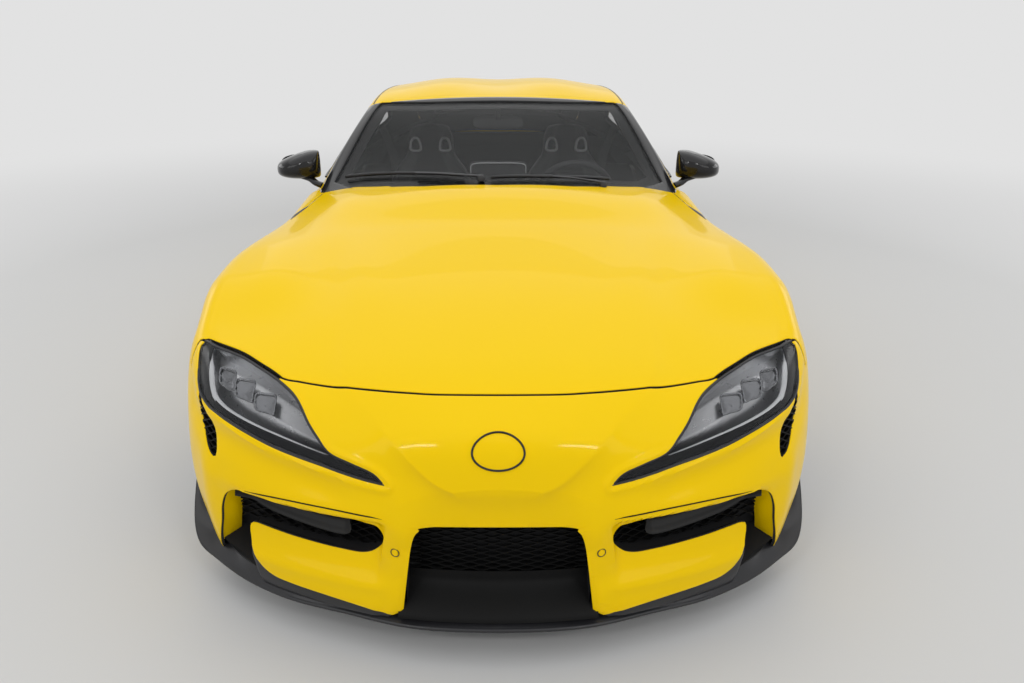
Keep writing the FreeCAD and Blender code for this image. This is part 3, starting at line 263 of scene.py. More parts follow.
def filled(ring, shares, bulge=0.0):
    """A ring drawn in to its middle by shares, bulging along Y."""
    centre = ring.mean(0)
    return sheet(np.stack([ring * k + centre * (1 - k) + (0, bulge * (1 - k), 0)
                           for k in shares]))


SIDES = (("left", 1), ("right", -1))


print("mesh tools ready")

# %% [markdown]
# ## The skin of the body
# Columns of numbers give the sections of the lower body and of the roof, as in the CAD.
# A natural cubic spline runs through the sections, spaced by the length between them, so
# the skin lies within millimetres of the CAD's loft.

# %%
# station, sill, waist, its height, shoulder, its height, crown height, in millimetres
HULL = np.array([
    (72, 290, 300, 330, 250, 470, 520),
    (112, 420, 440, 380, 350, 560, 618),
    (175, 580, 605, 410, 500, 610, 664),
    (280, 745, 780, 440, 680, 668, 712),
    (430, 850, 895, 480, 815, 712, 757),
    (680, 880, 918, 560, 874, 768, 815),
    (960, 885, 922, 610, 882, 800, 863),
    (1300, 870, 912, 620, 870, 822, 915),
    (1700, 855, 895, 610, 850, 850, 945),
    (2200, 845, 886, 580, 836, 882, 940),
    (2750, 850, 893, 590, 838, 900, 950),
    (3150, 865, 917, 610, 855, 905, 960),
    (3430, 870, 927, 620, 865, 908, 965),
    (3850, 845, 905, 640, 825, 912, 968),
    (4150, 770, 835, 640, 755, 918, 968),
    (4310, 680, 742, 630, 668, 915, 960),
    (4410, 560, 620, 590, 560, 800, 830),
], float) / 1000
# station, base half width and height, edge half width and height, crown height
GREENHOUSE = np.array([
    (1560, 800, 780, 760, 810, 955),
    (1810, 800, 860, 752, 920, 1060),
    (2230, 800, 900, 614, 1198, 1233),
    (2620, 790, 900, 584, 1250, 1288),
    (3020, 760, 900, 553, 1219, 1264),
    (3430, 700, 900, 508, 1118, 1190),
    (3830, 640, 900, 480, 1015, 1092),
    (4130, 600, 900, 480, 962, 1022),
    (4320, 580, 900, 505, 955, 1003),
], float) / 1000
FLOOR = 0.132  # height of the sills' lower edge
MIDDLE = 2.220  # station of the origin, so y is the station less this


def arc(start, middle, end, steps):
    """Points on the circle through three points; arrays of (n, 2) each."""
    (ax, ay), (bx, by), (cx, cy) = start.T, middle.T, end.T
    d = 2 * (ax * (by - cy) + bx * (cy - ay) + cx * (ay - by))
    a2, b2, c2 = ax**2 + ay**2, bx**2 + by**2, cx**2 + cy**2
    ux = (a2 * (by - cy) + b2 * (cy - ay) + c2 * (ay - by)) / d
    uy = (a2 * (cx - bx) + b2 * (ax - cx) + c2 * (bx - ax)) / d
    radius = np.hypot(ax - ux, ay - uy)
    first, mid, last = (np.arctan2(y - uy, x - ux) for x, y in ((ax, ay), (bx, by), (cx, cy)))
    mid = first + (mid - first + np.pi) % (2 * np.pi) - np.pi
    last = mid + (last - mid + np.pi) % (2 * np.pi) - np.pi
    t = np.linspace(0, 1, steps)
    turn = first[:, None] + (last - first)[:, None] * t
    return np.stack([ux[:, None] + radius[:, None] * np.cos(turn),
                     uy[:, None] + radius[:, None] * np.sin(turn)], -1)


def spline(knots, values, at):
    """Natural cubic spline through values at knots."""
    h = np.diff(knots)
    n = len(knots)
    flat = values.reshape(n, -1)
    system, right = np.eye(n), np.zeros_like(flat)
    k = np.arange(1, n - 1)
    system[k, k - 1], system[k, k], system[k, k + 1] = h[:-1], 2 * (h[:-1] + h[1:]), h[1:]
    slope = np.diff(flat, axis=0) / h[:, None]
    right[1:-1] = 6 * np.diff(slope, axis=0)
    bend = np.linalg.solve(system, right)
    i = np.clip(np.searchsorted(knots, at, side="right") - 1, 0, n - 2)
    t, hi = (at - knots[i])[:, None], h[i][:, None]
    low, high = bend[i], bend[i + 1]
    result = flat[i] + t * (slope[i] - hi * (2 * low + high) / 6) + t**2 * low / 2
    result = result + t**3 * (high - low) / (6 * hi)
    return result.reshape(len(at), *values.shape[1:])


def lofted(sections, stations, steps):
    """Half sections (n, m, 2) of (x, z) carried along the stations."""
    points = np.concatenate(
        [sections, np.broadcast_to(stations[:, None, None], (*sections.shape[:2], 1))], -1
    )[:, :, [0, 2, 1]]
    length = np.linalg.norm(np.diff(points, axis=0), axis=-1).mean(1)
    knots = np.concatenate([[0], np.cumsum(length)])
    t = np.linspace(0, 1, steps)
    return spline(knots, points, knots[-1] * t * (0.5 + 0.5 * t))


def pairs(*columns):
    return np.stack(columns, -1)


def hull_skin(steps=380, crown_steps=64, side_steps=44):
    s, sill, waist, waist_z, shoulder, shoulder_z, crown = HULL.T
    zero = np.zeros_like(s)
    edge = pairs(shoulder, shoulder_z)
    full = arc(pairs(-shoulder, shoulder_z), pairs(zero, crown), edge, 2 * crown_steps - 1)
    side = arc(edge, pairs(waist, waist_z), pairs(sill, zero + FLOOR), side_steps)
    half = np.concatenate([full[:, crown_steps - 1 :], side[:, 1:]], 1)
    return lofted(half, s, steps)


def house_skin(steps=200, crown_steps=40, side_steps=24):
    s, base, base_z, edge, edge_z, crown = GREENHOUSE.T
    zero = np.zeros_like(s)
    full = arc(pairs(-edge, edge_z), pairs(zero, crown), pairs(edge, edge_z),
               2 * crown_steps - 1)
    t = np.linspace(0, 1, side_steps)[None, :, None]
    side = pairs(edge, edge_z)[:, None] * (1 - t) + pairs(base, base_z)[:, None] * t
    half = np.concatenate([full[:, crown_steps - 1 :], side[:, 1:]], 1)
    return lofted(half, s, steps)


def softened(grid, passes):
    """Round creases: each point moves to the mean of its neighbours across the section."""
    for _ in range(passes):
        inner = 0.25 * grid[:, :-2] + 0.5 * grid[:, 1:-1] + 0.25 * grid[:, 2:]
        grid = np.concatenate([grid[:, :1], inner, grid[:, -1:]], 1)
    return grid


def whole(half):
    """Both sides of a half skin, as one grid across the car."""
    return np.concatenate([half[:, :0:-1] * (-1, 1, 1), half], 1) - (0, MIDDLE, 0)


def box_of(grid):
    points = grid.reshape(-1, 3)
    return points.min(0).round(3), points.max(0).round(3)


hull = whole(softened(hull_skin(), 10))
house = whole(softened(house_skin(), 6))
print("hull", hull.shape, *box_of(hull))
print("house", house.shape, *box_of(house))

# %% [markdown]
# ## From skin to sheet metal
# A real panel is a thin pressing with a rolled edge. Each skin point therefore carries
# two places, outside and inside. Cutting both together and joining them along the edge
# with a small rolled hem gives a closed panel whose shut line catches the light.

# %%
def outward(grid):
    """Unit normals: the cross product of the differences across and along the grid."""
    along, across = np.gradient(grid, axis=0), np.gradient(grid, axis=1)
    normal = np.cross(across, along)
    return normal / (np.linalg.norm(normal, axis=-1, keepdims=True) + 1e-12)


def capped(grid, front_z, rear_z, front=0.012, rear=0.012, rings=8):
    """Close the ends: the end ring shrinks to a point and bulges like a parabola."""
    def cap(ring, centre_z, bulge):
        share = np.linspace(0, 1, rings + 1)[1:, None, None] * 0.97
        centre = np.array([0, ring[:, 1].mean(), centre_z])
        rows = centre + (ring - centre) * (1 - share)
        rows[..., 1] += bulge * (1 - (1 - share[..., 0]) ** 2)
        return rows
    first = cap(grid[0], front_z, -front)[::-1]
    last = cap(grid[-1], rear_z, rear)
    return np.concatenate([first, grid, last])


def skin_between(outer, inner):
    """Points (n, 6), outside and inside places, and faces of two grids of one shape."""
    both = np.concatenate([outer, inner], -1).reshape(-1, 6)
    return both, split_quads(grid_faces(*outer.shape[:2])[:, ::-1])


def skin(grid, depth, sunk=0.0):
    """Outside sunk below the grid, and inside depth below it."""
    normal = outward(grid)
    return skin_between(grid - normal * sunk, grid - normal * depth)


def region(part, *values):
    """Cut a part by each value in turn; a value is a function of x, y, z arrays."""
    points, faces = part
    for value in values:
        if len(faces):
            points, faces = cut(points, faces, value(*points[:, :3].T))
    return points, faces


def open_edges(count, faces):
    """Directed edges that have a face on one side only."""
    edges = np.concatenate([faces[:, [0, 1]], faces[:, [1, 2]], faces[:, [2, 0]]])
    code, mirrored = edges[:, 0] * count + edges[:, 1], edges[:, 1] * count + edges[:, 0]
    return edges[~np.isin(code, mirrored)]


def shell(part, hem=0.002):
    """Closed panel: outside, a hem rolled through a quarter turn, rim and inside."""
    points, faces = part
    place, inner = points[:, :3], points[:, 3:].copy()
    a, b, c = (place[faces[:, k]] for k in range(3))
    faces = faces[np.linalg.norm(np.cross(b - a, c - a), axis=1) > 1e-10]
    edges = open_edges(len(place), faces)
    normal = place - inner
    normal /= np.linalg.norm(normal, axis=1, keepdims=True) + 1e-12
    a, b = edges.T
    sideways = np.cross(place[b] - place[a], normal[a])
    out = np.zeros_like(place)
    np.add.at(out, a, sideways)
    np.add.at(out, b, sideways)
    out /= np.linalg.norm(out, axis=1, keepdims=True) + 1e-12
    ring = np.unique(edges)
    place_of = np.zeros(len(place), int)
    place_of[ring] = np.arange(len(ring))
    base, go, down = place[ring], out[ring], normal[ring]
    half = np.sqrt(0.5)
    inner[ring] += hem * go
    stack = [place, base + hem * (half * go - (1 - half) * down), base + hem * (go - down), inner]
    start = np.cumsum([0] + [len(p) for p in stack])
    lines = [(a, b), *((start[k] + place_of[a], start[k] + place_of[b]) for k in (1, 2)),
             (start[3] + a, start[3] + b)]
    strips = [
        split_quads(np.stack([high[1], high[0], low[0], low[1]], 1))
        for high, low in zip(lines[:-1], lines[1:])
    ]
    patches = [faces, *strips, start[3] + faces[:, ::-1]]
    groups = np.repeat([0, 0, 0, 1, 1], [len(patch) for patch in patches])
    return np.concatenate(stack), np.concatenate(patches), groups


def build(name, parts, body, nodes=(), finishes=(), sharp=35):
    """One object from several parts; a part with a third array carries material numbers."""
    points, faces = merged(*[(p[0], p[1]) for p in parts])
    groups = np.concatenate([p[2] if len(p) > 2 else np.zeros(len(p[1]), int) for p in parts])
    used, renumbered = np.unique(faces, return_inverse=True)
    faces = renumbered.reshape(-1, 3)
    mesh = mesh_from(name, points[used], faces)
    if len(mesh.polygons) == len(groups):
        mesh.polygons.foreach_set("material_index", groups)
    if sharp:
        mesh.set_sharp_from_angle(angle=np.radians(sharp))
    made = link(name, mesh, body)
    for finish in finishes:
        mesh.materials.append(finish)
    if nodes:
        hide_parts(*nodes)
    print(f"{name}: {len(mesh.polygons)} faces")
    return made


print("panel tools ready")

# %% [markdown]
# ## Outlines
# The shut lines are drawn once, in the view that shows them best: doors from the side,
# the bonnet and the windscreen from above, lamps and intakes from the front. Each is a
# smooth closed curve through a few points in millimetres from the nose reference.

# %%
def scaled(outline, shift=(0, 0)):
    """Millimetres to metres."""
    return np.asarray(outline, float) / 1000 - shift


def outline_points(outline, steps=6, closed=True):
    return through(scaled(outline), closed, steps)


def side_view(outline, smooth=True, grow=0.0):
    """Positive inside an outline of (station, height) pairs, seen from the side."""
    shape = scaled(outline, (MIDDLE, 0))
    shape = through(shape, True, 8) if smooth else shape
    return lambda x, y, z: inside_of(y, z, shape) + grow


def plan_view(outline, grow=0.0, lean=0.0, lean_z=0.0, smooth=True):
    """Positive inside a mirrored outline of (half width, station) pairs, from above."""
    shape = scaled(outline, (0, MIDDLE))
    shape = np.concatenate([shape, (shape[shape[:, 0] > 0] * (-1, 1))[::-1]])
    shape = through(shape, True, 8) if smooth else shape
    return lambda x, y, z: inside_of(np.abs(x), y - lean * (z - lean_z), shape) + grow


def front_view(outline, grow=0.0, smooth=True, depth=1.0):
    """Positive inside an outline of (half width, height) pairs, from the front."""
    shape = scaled(outline)
    shape = through(shape, True, 8) if smooth else shape
    def value(x, y, z):
        return np.minimum(inside_of(np.abs(x), z, shape) + grow, depth - MIDDLE - y)
    return value


def outside(value):
    return lambda x, y, z: -value(x, y, z)


def side_of(axis, limit, sign=1):
    """Positive beyond a plane across one axis."""
    return lambda *p: sign * (p[axis] - limit)


SEAM = 0.004  # between fixed panels
SHUT = 0.006  # round doors, bonnet and tailgate; both count the rolled hems
BONNET_SIDE = [(150, 560), (560, 672), (620, 722), (1000, 766), (1550, 792), (1812, 800),
               (1812, 1150), (150, 1150)]
BONNET_FRONT = [(0, 240), (150, 244), (241, 254), (321, 267), (397, 282), (466, 300),
                (527, 316), (578, 332), (690, 402), (806, 490), (860, 535), (960, 620),
                (960, 2500), (0, 2500)]
BONNET_REAR = [(0, 0), (960, 0), (960, 1484), (830, 1530), (742, 1789), (560, 1674),
               (300, 1572), (0, 1538)]
DOOR = [(1590, 250), (1590, 250), (2640, 250), (2800, 430), (2845, 700), (2835, 930),
        (2790, 1090), (2690, 1172), (2500, 1188), (2250, 1146), (2040, 1042), (1824, 905),
        (1824, 905), (1818, 786), (1818, 786), (1600, 780), (1600, 780), (1580, 600)]
DOOR_WINDOW = [(1925, 938), (1925, 938), (2340, 944), (2760, 948), (2760, 948), (2722, 1080),
               (2650, 1142), (2500, 1158), (2262, 1116), (2070, 1016)]
QUARTER_WINDOW = [(2880, 978), (2880, 978), (3060, 1010), (3140, 1052), (3140, 1052),
                  (3000, 1116), (2885, 1150), (2885, 1150)]
WINDSCREEN = [(0, 1575), (300, 1601), (560, 1677), (712, 1800), (712, 1800), (556, 2262),
              (556, 2262), (310, 2222), (0, 2212)]
TAILGATE = [(0, 3003), (480, 3003), (480, 3003), (530, 3500), (545, 4000), (565, 4400),
            (565, 4400), (0, 4400)]
REAR_GLASS = [(0, 3070), (415, 3070), (415, 3070), (445, 3500), (440, 3960), (440, 3960),
              (0, 3990)]
HEADLAMP = [(860, 715), (860, 715), (830, 728), (722, 723), (647, 712), (591, 701), (541, 685),
            (512, 667), (483, 637), (457, 613), (422, 581), (367, 564), (313, 545), (285, 519),
            (285, 519), (346, 528), (457, 549), (574, 568), (668, 589), (753, 605), (794, 612),
            (829, 628), (850, 664)]
CENTRE_INTAKE = [(-300, 404), (-300, 404), (168, 404), (200, 396), (219, 366), (234, 276),
                 (262, 60), (262, 60), (-300, 60), (-300, 60)]
SIDE_INTAKE = [(292, 374), (353, 390), (437, 402), (555, 412), (655, 423), (700, 421),
               (742, 396), (764, 350), (776, 290), (802, 200), (830, 90), (830, 90),
               (640, 90), (640, 90), (668, 170), (680, 240), (684, 290), (668, 302),
               (534, 298), (415, 295), (350, 297), (312, 318)]
NOSE_FOOT = [(200, 40), (200, 40), (200, 126), (200, 126), (266, 137), (313, 148), (378, 158),
             (462, 166), (552, 171), (610, 176), (645, 190), (664, 212), (690, 262), (690, 262),
             (760, 262), (760, 262), (760, 40), (760, 40)]
WING_VENT = [(835, 655), (814, 612), (788, 587), (768, 557), (760, 513), (767, 483), (767, 483),
             (790, 498), (812, 539), (830, 590)]
TAIL_LAMP = [(395, 800), (395, 800), (600, 856), (830, 880), (830, 880), (815, 800), (620, 770)]
REAR_BUMPER = [(3815, 60), (3815, 60), (3815, 640), (3815, 640), (3990, 655), (4190, 790),
               (4190, 790), (4600, 790), (4600, 790), (4600, 60), (4600, 60)]
DIFFUSER = [(-500, 60), (-500, 60), (470, 60), (470, 60), (430, 300), (300, 400),
            (-500, 400), (-500, 400)]
SKIRT = [(1250, 60), (1250, 60), (3160, 60), (3160, 60), (3160, 244), (3160, 244),
         (1250, 244), (1250, 244)]
NOSE_JOINT = 0.575 - MIDDLE


def in_bonnet(grow):
    side, front = side_view(BONNET_SIDE, False, grow), plan_view(BONNET_FRONT, grow * 1.6)
    rear = plan_view(BONNET_REAR, grow * 1.22, 0.7, 0.92, False)
    return [side, front, rear]


def clear_of(values):
    """Positive where a point is outside at least one of several outlines."""
    return lambda x, y, z: np.max([-v(x, y, z) for v in values], axis=0)


def arch(axle_y, centre_z, radius):
    """Positive outside a wheel arch, on the outer part of the body only."""
    def value(x, y, z):
        return np.maximum(np.hypot(y - axle_y, z - centre_z) - radius, 0.5 - np.abs(x))
    return value


FRONT_AXLE, REAR_AXLE = -1.260, 1.210
FRONT_RADIUS, REAR_RADIUS = 0.330, 0.337
front_arch = arch(FRONT_AXLE, FRONT_RADIUS, 0.372)
rear_arch = arch(REAR_AXLE, REAR_RADIUS, 0.377)
print("outlines ready")

# %% [markdown]
# ## Where body and cabin meet
# The cabin stands on the body as a second skin. Each skin is kept where it lies outside
# the other. For that, each row of a skin is stored as distance from a middle line by
# angle, and a point is outside where its own distance is larger.

# %%
def polar_table(grid, centre_z, angles=181):
    """Distance from the line x = 0, z = centre_z by row and by angle above the level."""
    turn = np.linspace(-np.pi / 2, np.pi / 2, angles)
    middle = grid.shape[1] // 2
    table = np.empty((len(grid), angles))
    for row, half in enumerate(grid[:, middle:][:, ::-1]):
        x, z = half[:, 0], half[:, 2] - centre_z
        table[row] = np.interp(turn, np.arctan2(z, x), np.hypot(x, z))
    return grid[:, middle, 1], turn, table, centre_z


def beyond(table):
    """Value function: a point's distance outside the stored skin."""
    row_y, turn, distance, centre_z = table
    def value(x, y, z):
        row = np.interp(y, row_y, np.arange(len(row_y)))
        angle = np.arctan2(z - centre_z, np.abs(x))
        column = np.interp(angle, turn, np.arange(len(turn)))
        i = np.minimum(row.astype(int), len(row_y) - 2)
        j = np.minimum(column.astype(int), len(turn) - 2)
        u, v = row - i, column - j
        skin_at = (distance[i, j] * (1 - u) * (1 - v) + distance[i + 1, j] * u * (1 - v)
                   + distance[i, j + 1] * (1 - u) * v + distance[i + 1, j + 1] * u * v)
        past = np.maximum(row_y[0] - y, y - row_y[-1])
        return np.maximum(np.hypot(x, z - centre_z) - skin_at, past)
    return value


def shifted(value, amount):
    return lambda x, y, z: value(x, y, z) + amount


out_of_hull = beyond(polar_table(hull, 0.50))
out_of_house = beyond(polar_table(house, 0.78))
hull = capped(hull, 0.30, 0.25)
house = capped(house, 0.93, 0.93, 0.0, 0.010)
print("skins", hull.shape, house.shape)

# %% [markdown]
# ## Sculpting the skin
# The sections give a plain soap-bar shape. The nose cone with its crease, the valleys
# beside it, the column between grille and side intake, the scooped panel below the
# intake, the twin humps of the roof and the hollow of the doors are added as smooth
# pushes along the normal, each a product of a few bell and step curves.

# %%
def step(value, start, end):
    """0 before start, 1 after end, smooth between them."""
    t = np.clip((value - start) / (end - start), 0, 1)
    return t * t * (3 - 2 * t)


def bell(distance, width):
    return np.exp(-((distance / width) ** 2))


def line_distance(u, v, line):
    """Distance to an open line of points."""
    best = np.full(u.shape, 9.0)
    for (ax, ay), (bx, by) in zip(line[:-1], line[1:]):
        dx, dy = bx - ax, by - ay
        t = np.clip(((u - ax) * dx + (v - ay) * dy) / (dx * dx + dy * dy), 0, 1)
        best = np.minimum(best, np.hypot(u - ax - t * dx, v - ay - t * dy))
    return best


CONE = [(-600, 504), (-600, 504), (0, 504), (59, 504), (110, 511), (162, 535), (213, 577),
        (267, 622), (315, 655), (357, 676), (400, 700), (440, 760), (460, 900), (460, 900),
        (-600, 900), (-600, 900)]
COLUMN = scaled([(212, 460), (230, 404), (240, 330), (250, 240), (266, 140)])
GROOVE = scaled([(262, 392), (262, 330), (270, 250), (285, 165)])
cone_shape, lamp_shape = outline_points(CONE, 8), outline_points(HEADLAMP)


def nose_push(x, y, z):
    """How far the nose stands proud of the sections, in metres."""
    half, s = np.abs(x), y + MIDDLE
    total = np.zeros_like(half)
    near = s < 0.9
    half, s, z = half[near], s[near], z[near]
    ahead = 1 - step(s, 0.34, 0.60)
    # The cone steps down below its crease, and swells a little above it.
    cone = inside_of(half, z, cone_shape)
    depth = 0.007 + 0.013 * (1 - step(z, 0.52, 0.68))
    fade = np.maximum(bell(cone, 0.13), 1 - step(half, 0.16, 0.30))
    push = -depth * (1 - np.exp(np.minimum(cone, 0) / 0.022)) * fade
    push += 0.004 * step(cone, 0.0, 0.10) * (1 - step(z, 0.66, 0.72))
    # The column between grille and side intake stands proud, with a groove outside it.
    column = line_distance(half, z, COLUMN)
    push += 0.016 * bell(column, 0.024) * (1 - step(z, 0.38, 0.47))
    push -= 0.005 * bell(line_distance(half, z, GROOVE), 0.007)
    # The panel below the side intake is scooped, and the intake's upper edge swells.
    scoop = step(half, 0.27, 0.33) * (1 - step(half, 0.68, 0.74)) * (1 - step(z, 0.395, 0.425))
    push += scoop * (0.014 - 0.050 * step(z, 0.15, 0.33) + 0.010 * bell(z - 0.225, 0.022))
    push += 0.006 * bell(z - 0.435, 0.030) * step(half, 0.26, 0.34) * (1 - step(half, 0.72, 0.84))
    # A brow runs round the upper side of the lamp, with a hollow above it.
    lamp = inside_of(half, z, lamp_shape)
    brow = 1 - step(z - 0.5 - 0.2 * (half - 0.285), 0.04, 0.09)
    push += 0.006 * bell(lamp + 0.014, 0.009) * brow
    push -= 0.010 * bell(lamp + 0.055, 0.035) * brow * step(half, 0.34, 0.46)
    # The corner of the bumper is fuller.
    push += 0.010 * bell(half - 0.80, 0.035) * (1 - step(z, 0.44, 0.56))
    total[near] = push * ahead
    return total


def flank_push(x, y, z):
    """Hollow behind the front wheel and along the door, and the hip over the rear one."""
    s = y + MIDDLE
    side = step(np.abs(x), 0.70, 0.80)
    hollow = bell(s - 2.38, 0.62) * bell(z - 0.47, 0.13) * 0.026
    gill = bell(s - 1.52, 0.16) * bell(z - 0.52, 0.20) * 0.014
    sill = bell(z - 0.265, 0.035) * bell(s - 2.3, 0.75) * 0.010
    hip = bell(s - 3.40, 0.42) * bell(z - 0.74, 0.12) * 0.010
    belt = bell(z - 0.80, 0.030) * bell(s - 2.25, 0.65) * 0.006
    flare = bell(z - 0.64, 0.17) * step(s, 0.40, 0.60) * (1 - step(s, 0.95, 1.35)) * 0.026
    return side * (hip + sill + belt - hollow - gill) + flare * step(np.abs(x), 0.825, 0.885)


def bonnet_push(x, y, z):
    """Two low ridges from the nose to the pillars, a dip beside each, fuller wings over the
    wheels, and the raised rear edge that hides the wipers."""
    s, half = y + MIDDLE, np.abs(x)
    line = 0.36 + 0.26 * step(s, 0.30, 1.70)
    ridge = bell(half - line, 0.075) * 0.007 * step(s, 0.45, 0.9) * (1 - step(s, 1.60, 1.80))
    dip = bell(half - line - 0.16, 0.07) * 0.007 * step(s, 0.7, 1.1) * (1 - step(s, 1.45, 1.65))
    kick = 0.024 * step(s, 1.20, 1.55) * (1 - step(s, 1.82, 1.95)) * step(z, 0.82, 0.90)
    along = step(s, 0.54, 0.84) * (1 - step(s, 1.02, 1.62))
    wing = 0.037 * bell(z - 0.80, 0.13) * step(half, 0.50, 0.76) * along
    return (ridge - dip) * step(z, 0.60, 0.70) + kick + wing


def tail_push(x, y, z):
    """The tail: a shelf under the lamps, a hollow for the plate and a tucked-in skirt."""
    s, half = y + MIDDLE, np.abs(x)
    back = step(s, 4.05, 4.30)
    shelf = 0.016 * bell(z - 0.70, 0.030) * back
    plate = -0.030 * (1 - step(half, 0.24, 0.30)) * step(z, 0.50, 0.54) * (1 - step(z, 0.64, 0.68))
    skirt = -0.045 * (1 - step(z, 0.16, 0.40)) * step(s, 3.95, 4.35)
    corner = -0.022 * bell(half - 0.60, 0.10) * bell(z - 0.45, 0.12) * back
    return shelf + plate * step(s, 4.35, 4.40) + skirt + corner


def sculpted(grid):
    x, y, z = grid.reshape(-1, 3).T
    push = nose_push(x, y, z) + flank_push(x, y, z) + bonnet_push(x, y, z) + tail_push(x, y, z)
    return grid + outward(grid) * push.reshape(*grid.shape[:2], 1)


def humped(grid):
    """Roof with a low hump over each seat and a valley between them."""
    s, half = grid[..., 1] + MIDDLE, np.abs(grid[..., 0])
    along = step(s, 2.24, 2.50) * (1 - step(s, 3.3, 3.95))
    lift = 0.011 * bell(half - 0.28, 0.16) - 0.006 * bell(half, 0.14)
    raised = grid.copy()
    raised[..., 2] += lift * along
    return raised


hull, house = sculpted(hull), humped(house)


def halved(is_low, low, high, shape, passes=30):
    """The place between low and high up to which a condition holds, by halving."""
    low, high = np.full(shape, low), np.full(shape, high)
    for _ in range(passes):
        middle = (low + high) / 2
        holds = is_low(middle)
        low, high = np.where(holds, middle, low), np.where(holds, high, middle)
    return low


def slope_of(value, x, y, z, e=0.004):
    """Unit gradient of a value function."""
    slope = np.stack([
        value(x + e, y, z) - value(x - e, y, z),
        value(x, y + e, z) - value(x, y - e, z),
        value(x, y, z + e) - value(x, y, z - e),
    ], -1)
    return slope / (np.linalg.norm(slope, axis=-1, keepdims=True) + 1e-12)


def on_nose(x, z, inset=0.0):
    """Points of the nose at half width x and height z, found by halving along the car."""
    x, z = np.asarray(x, float), np.asarray(z, float)
    y = halved(lambda level: out_of_hull(x, level, z) > 0, -2.3, -1.4, x.shape, 34)
    push = nose_push(x, y, z) - inset
    return np.stack([x, y, z], -1) + slope_of(out_of_hull, x, y, z) * push[..., None]


print("sculpted", *box_of(hull))

# %% [markdown]
# ## Finishes as formulas
# Each finish is a small node tree. A class wraps a socket so that shader maths reads
# like arithmetic; any other node comes from one method that takes its type, settings
# and sockets. Patterns use Object coordinates, which for every piece are car metres.

# %%
class Signal:
    """A socket that can be added to and multiplied in Python."""

    def __init__(self, tree, socket):
        self.tree, self.socket = tree, socket

    def calculate(self, operation, first, second=0.5):
        node = self.tree.nodes.new("ShaderNodeMath")
        node.operation = operation
        for place, value in zip(node.inputs, (first, second)):
            if isinstance(value, Signal):
                self.tree.links.new(value.socket, place)
            else:
                place.default_value = value
        return Signal(self.tree, node.outputs[0])

    def __add__(self, other): return self.calculate("ADD", self, other)
    def __radd__(self, other): return self.calculate("ADD", other, self)
    def __sub__(self, other): return self.calculate("SUBTRACT", self, other)
    def __rsub__(self, other): return self.calculate("SUBTRACT", other, self)
    def __mul__(self, other): return self.calculate("MULTIPLY", self, other)
    def __truediv__(self, other): return self.calculate("DIVIDE", self, other)
    def __pow__(self, other): return self.calculate("POWER", self, other)
    def wave(self): return self.calculate("SINE", self)
    def size(self): return self.calculate("ABSOLUTE", self)
    def least(self, other): return self.calculate("MINIMUM", self, other)
    def limit(self): return self.calculate("MINIMUM", self.calculate("MAXIMUM", self, 0.0), 1.0)


class Finish:
    """A material with its shader; sockets are set by name."""

    def __init__(self, name, **fixed):
        self.material = bpy.data.materials.new(name)
        self.material.use_nodes = True
        self.tree = self.material.node_tree
        self.tree.nodes.clear()
        self.shader = self.tree.nodes.new("ShaderNodeBsdfPrincipled")
        self.end = self.tree.nodes.new("ShaderNodeOutputMaterial")
        self.tree.links.new(self.shader.outputs[0], self.end.inputs[0])
        self.set(**fixed)

    def plug(self, place, value):
        if isinstance(value, Signal):
            self.tree.links.new(value.socket, place)
        elif hasattr(place.default_value, "__len__"):
            place.default_value = (*value, 1.0)[: len(place.default_value)]
        else:
            place.default_value = value

    def set(self, **sockets):
        for name, value in sockets.items():
            self.plug(self.shader.inputs[name.replace("_", " ")], value)
        return self

    def node(self, kind, settings=None, output=0, **sockets):
        made = self.tree.nodes.new("ShaderNode" + kind)
        for key, value in (settings or {}).items():
            setattr(made, key, value)
        for name, value in sockets.items():
            label = name.replace("_", " ")
            self.plug(next(s for s in made.inputs if s.enabled and s.name == label), value)
        return Signal(self.tree, made.outputs[output])

    def place(self):
        return self.node("TexCoord", output=3)

    def axes(self):
        made = self.tree.nodes.new("ShaderNodeSeparateXYZ")
        self.plug(made.inputs[0], self.place())
        return [Signal(self.tree, s) for s in made.outputs]

    def noise(self, scale, detail=2.0, roughness=0.5, at=None):
        return self.node("TexNoise", Vector=at or self.place(), Scale=scale, Detail=detail,
                         Roughness=roughness)

    def mix(self, share, first, second):
        made = self.tree.nodes.new("ShaderNodeMix")
        made.data_type = "RGBA"
        for number, value in ((0, share), (6, first), (7, second)):
            self.plug(made.inputs[number], value)
        return Signal(self.tree, made.outputs[2])

    def bump(self, height, distance=0.001, strength=1.0):
        bump = self.node("Bump", Height=height, Distance=distance, Strength=strength)
        return self.set(Normal=bump)


def grime(finish, amount):
    """0..1, larger low on the car, where the road throws dust, broken up by noise."""
    height = finish.axes()[2]
    return ((0.5 - height) * 2.0 * amount).limit() * finish.noise(14.0, 4.0)


print("finish tools ready")

# %% [markdown]
# ## Paint, plastics, glass and metals
# The paint is a clear-coated yellow: a fine orange-peel bump keeps its reflections from
# looking like a mirror's, and it is a little rougher low down. Black trim is three
# finishes, gloss, satin and moulded grain, because the real trim differs the same way.

# %%
def painted():
    f = Finish("yellow paint", Specular_IOR_Level=0.04, Coat_Weight=0.45, Coat_Roughness=0.03,
               Coat_IOR=1.27)
    tone = f.noise(2.2, 2.0)
    deep = (f.noise(900.0, 0.0) - 0.5) * 0.10 + tone * 0.25
    f.set(Base_Color=f.mix(deep.limit(), (0.975, 0.640, 0.000), (0.940, 0.585, 0.000)))
    f.set(Roughness=0.30 + grime(f, 0.3) * 0.25)
    return f.bump(f.noise(330.0, 1.0), 0.00012, 0.25).material


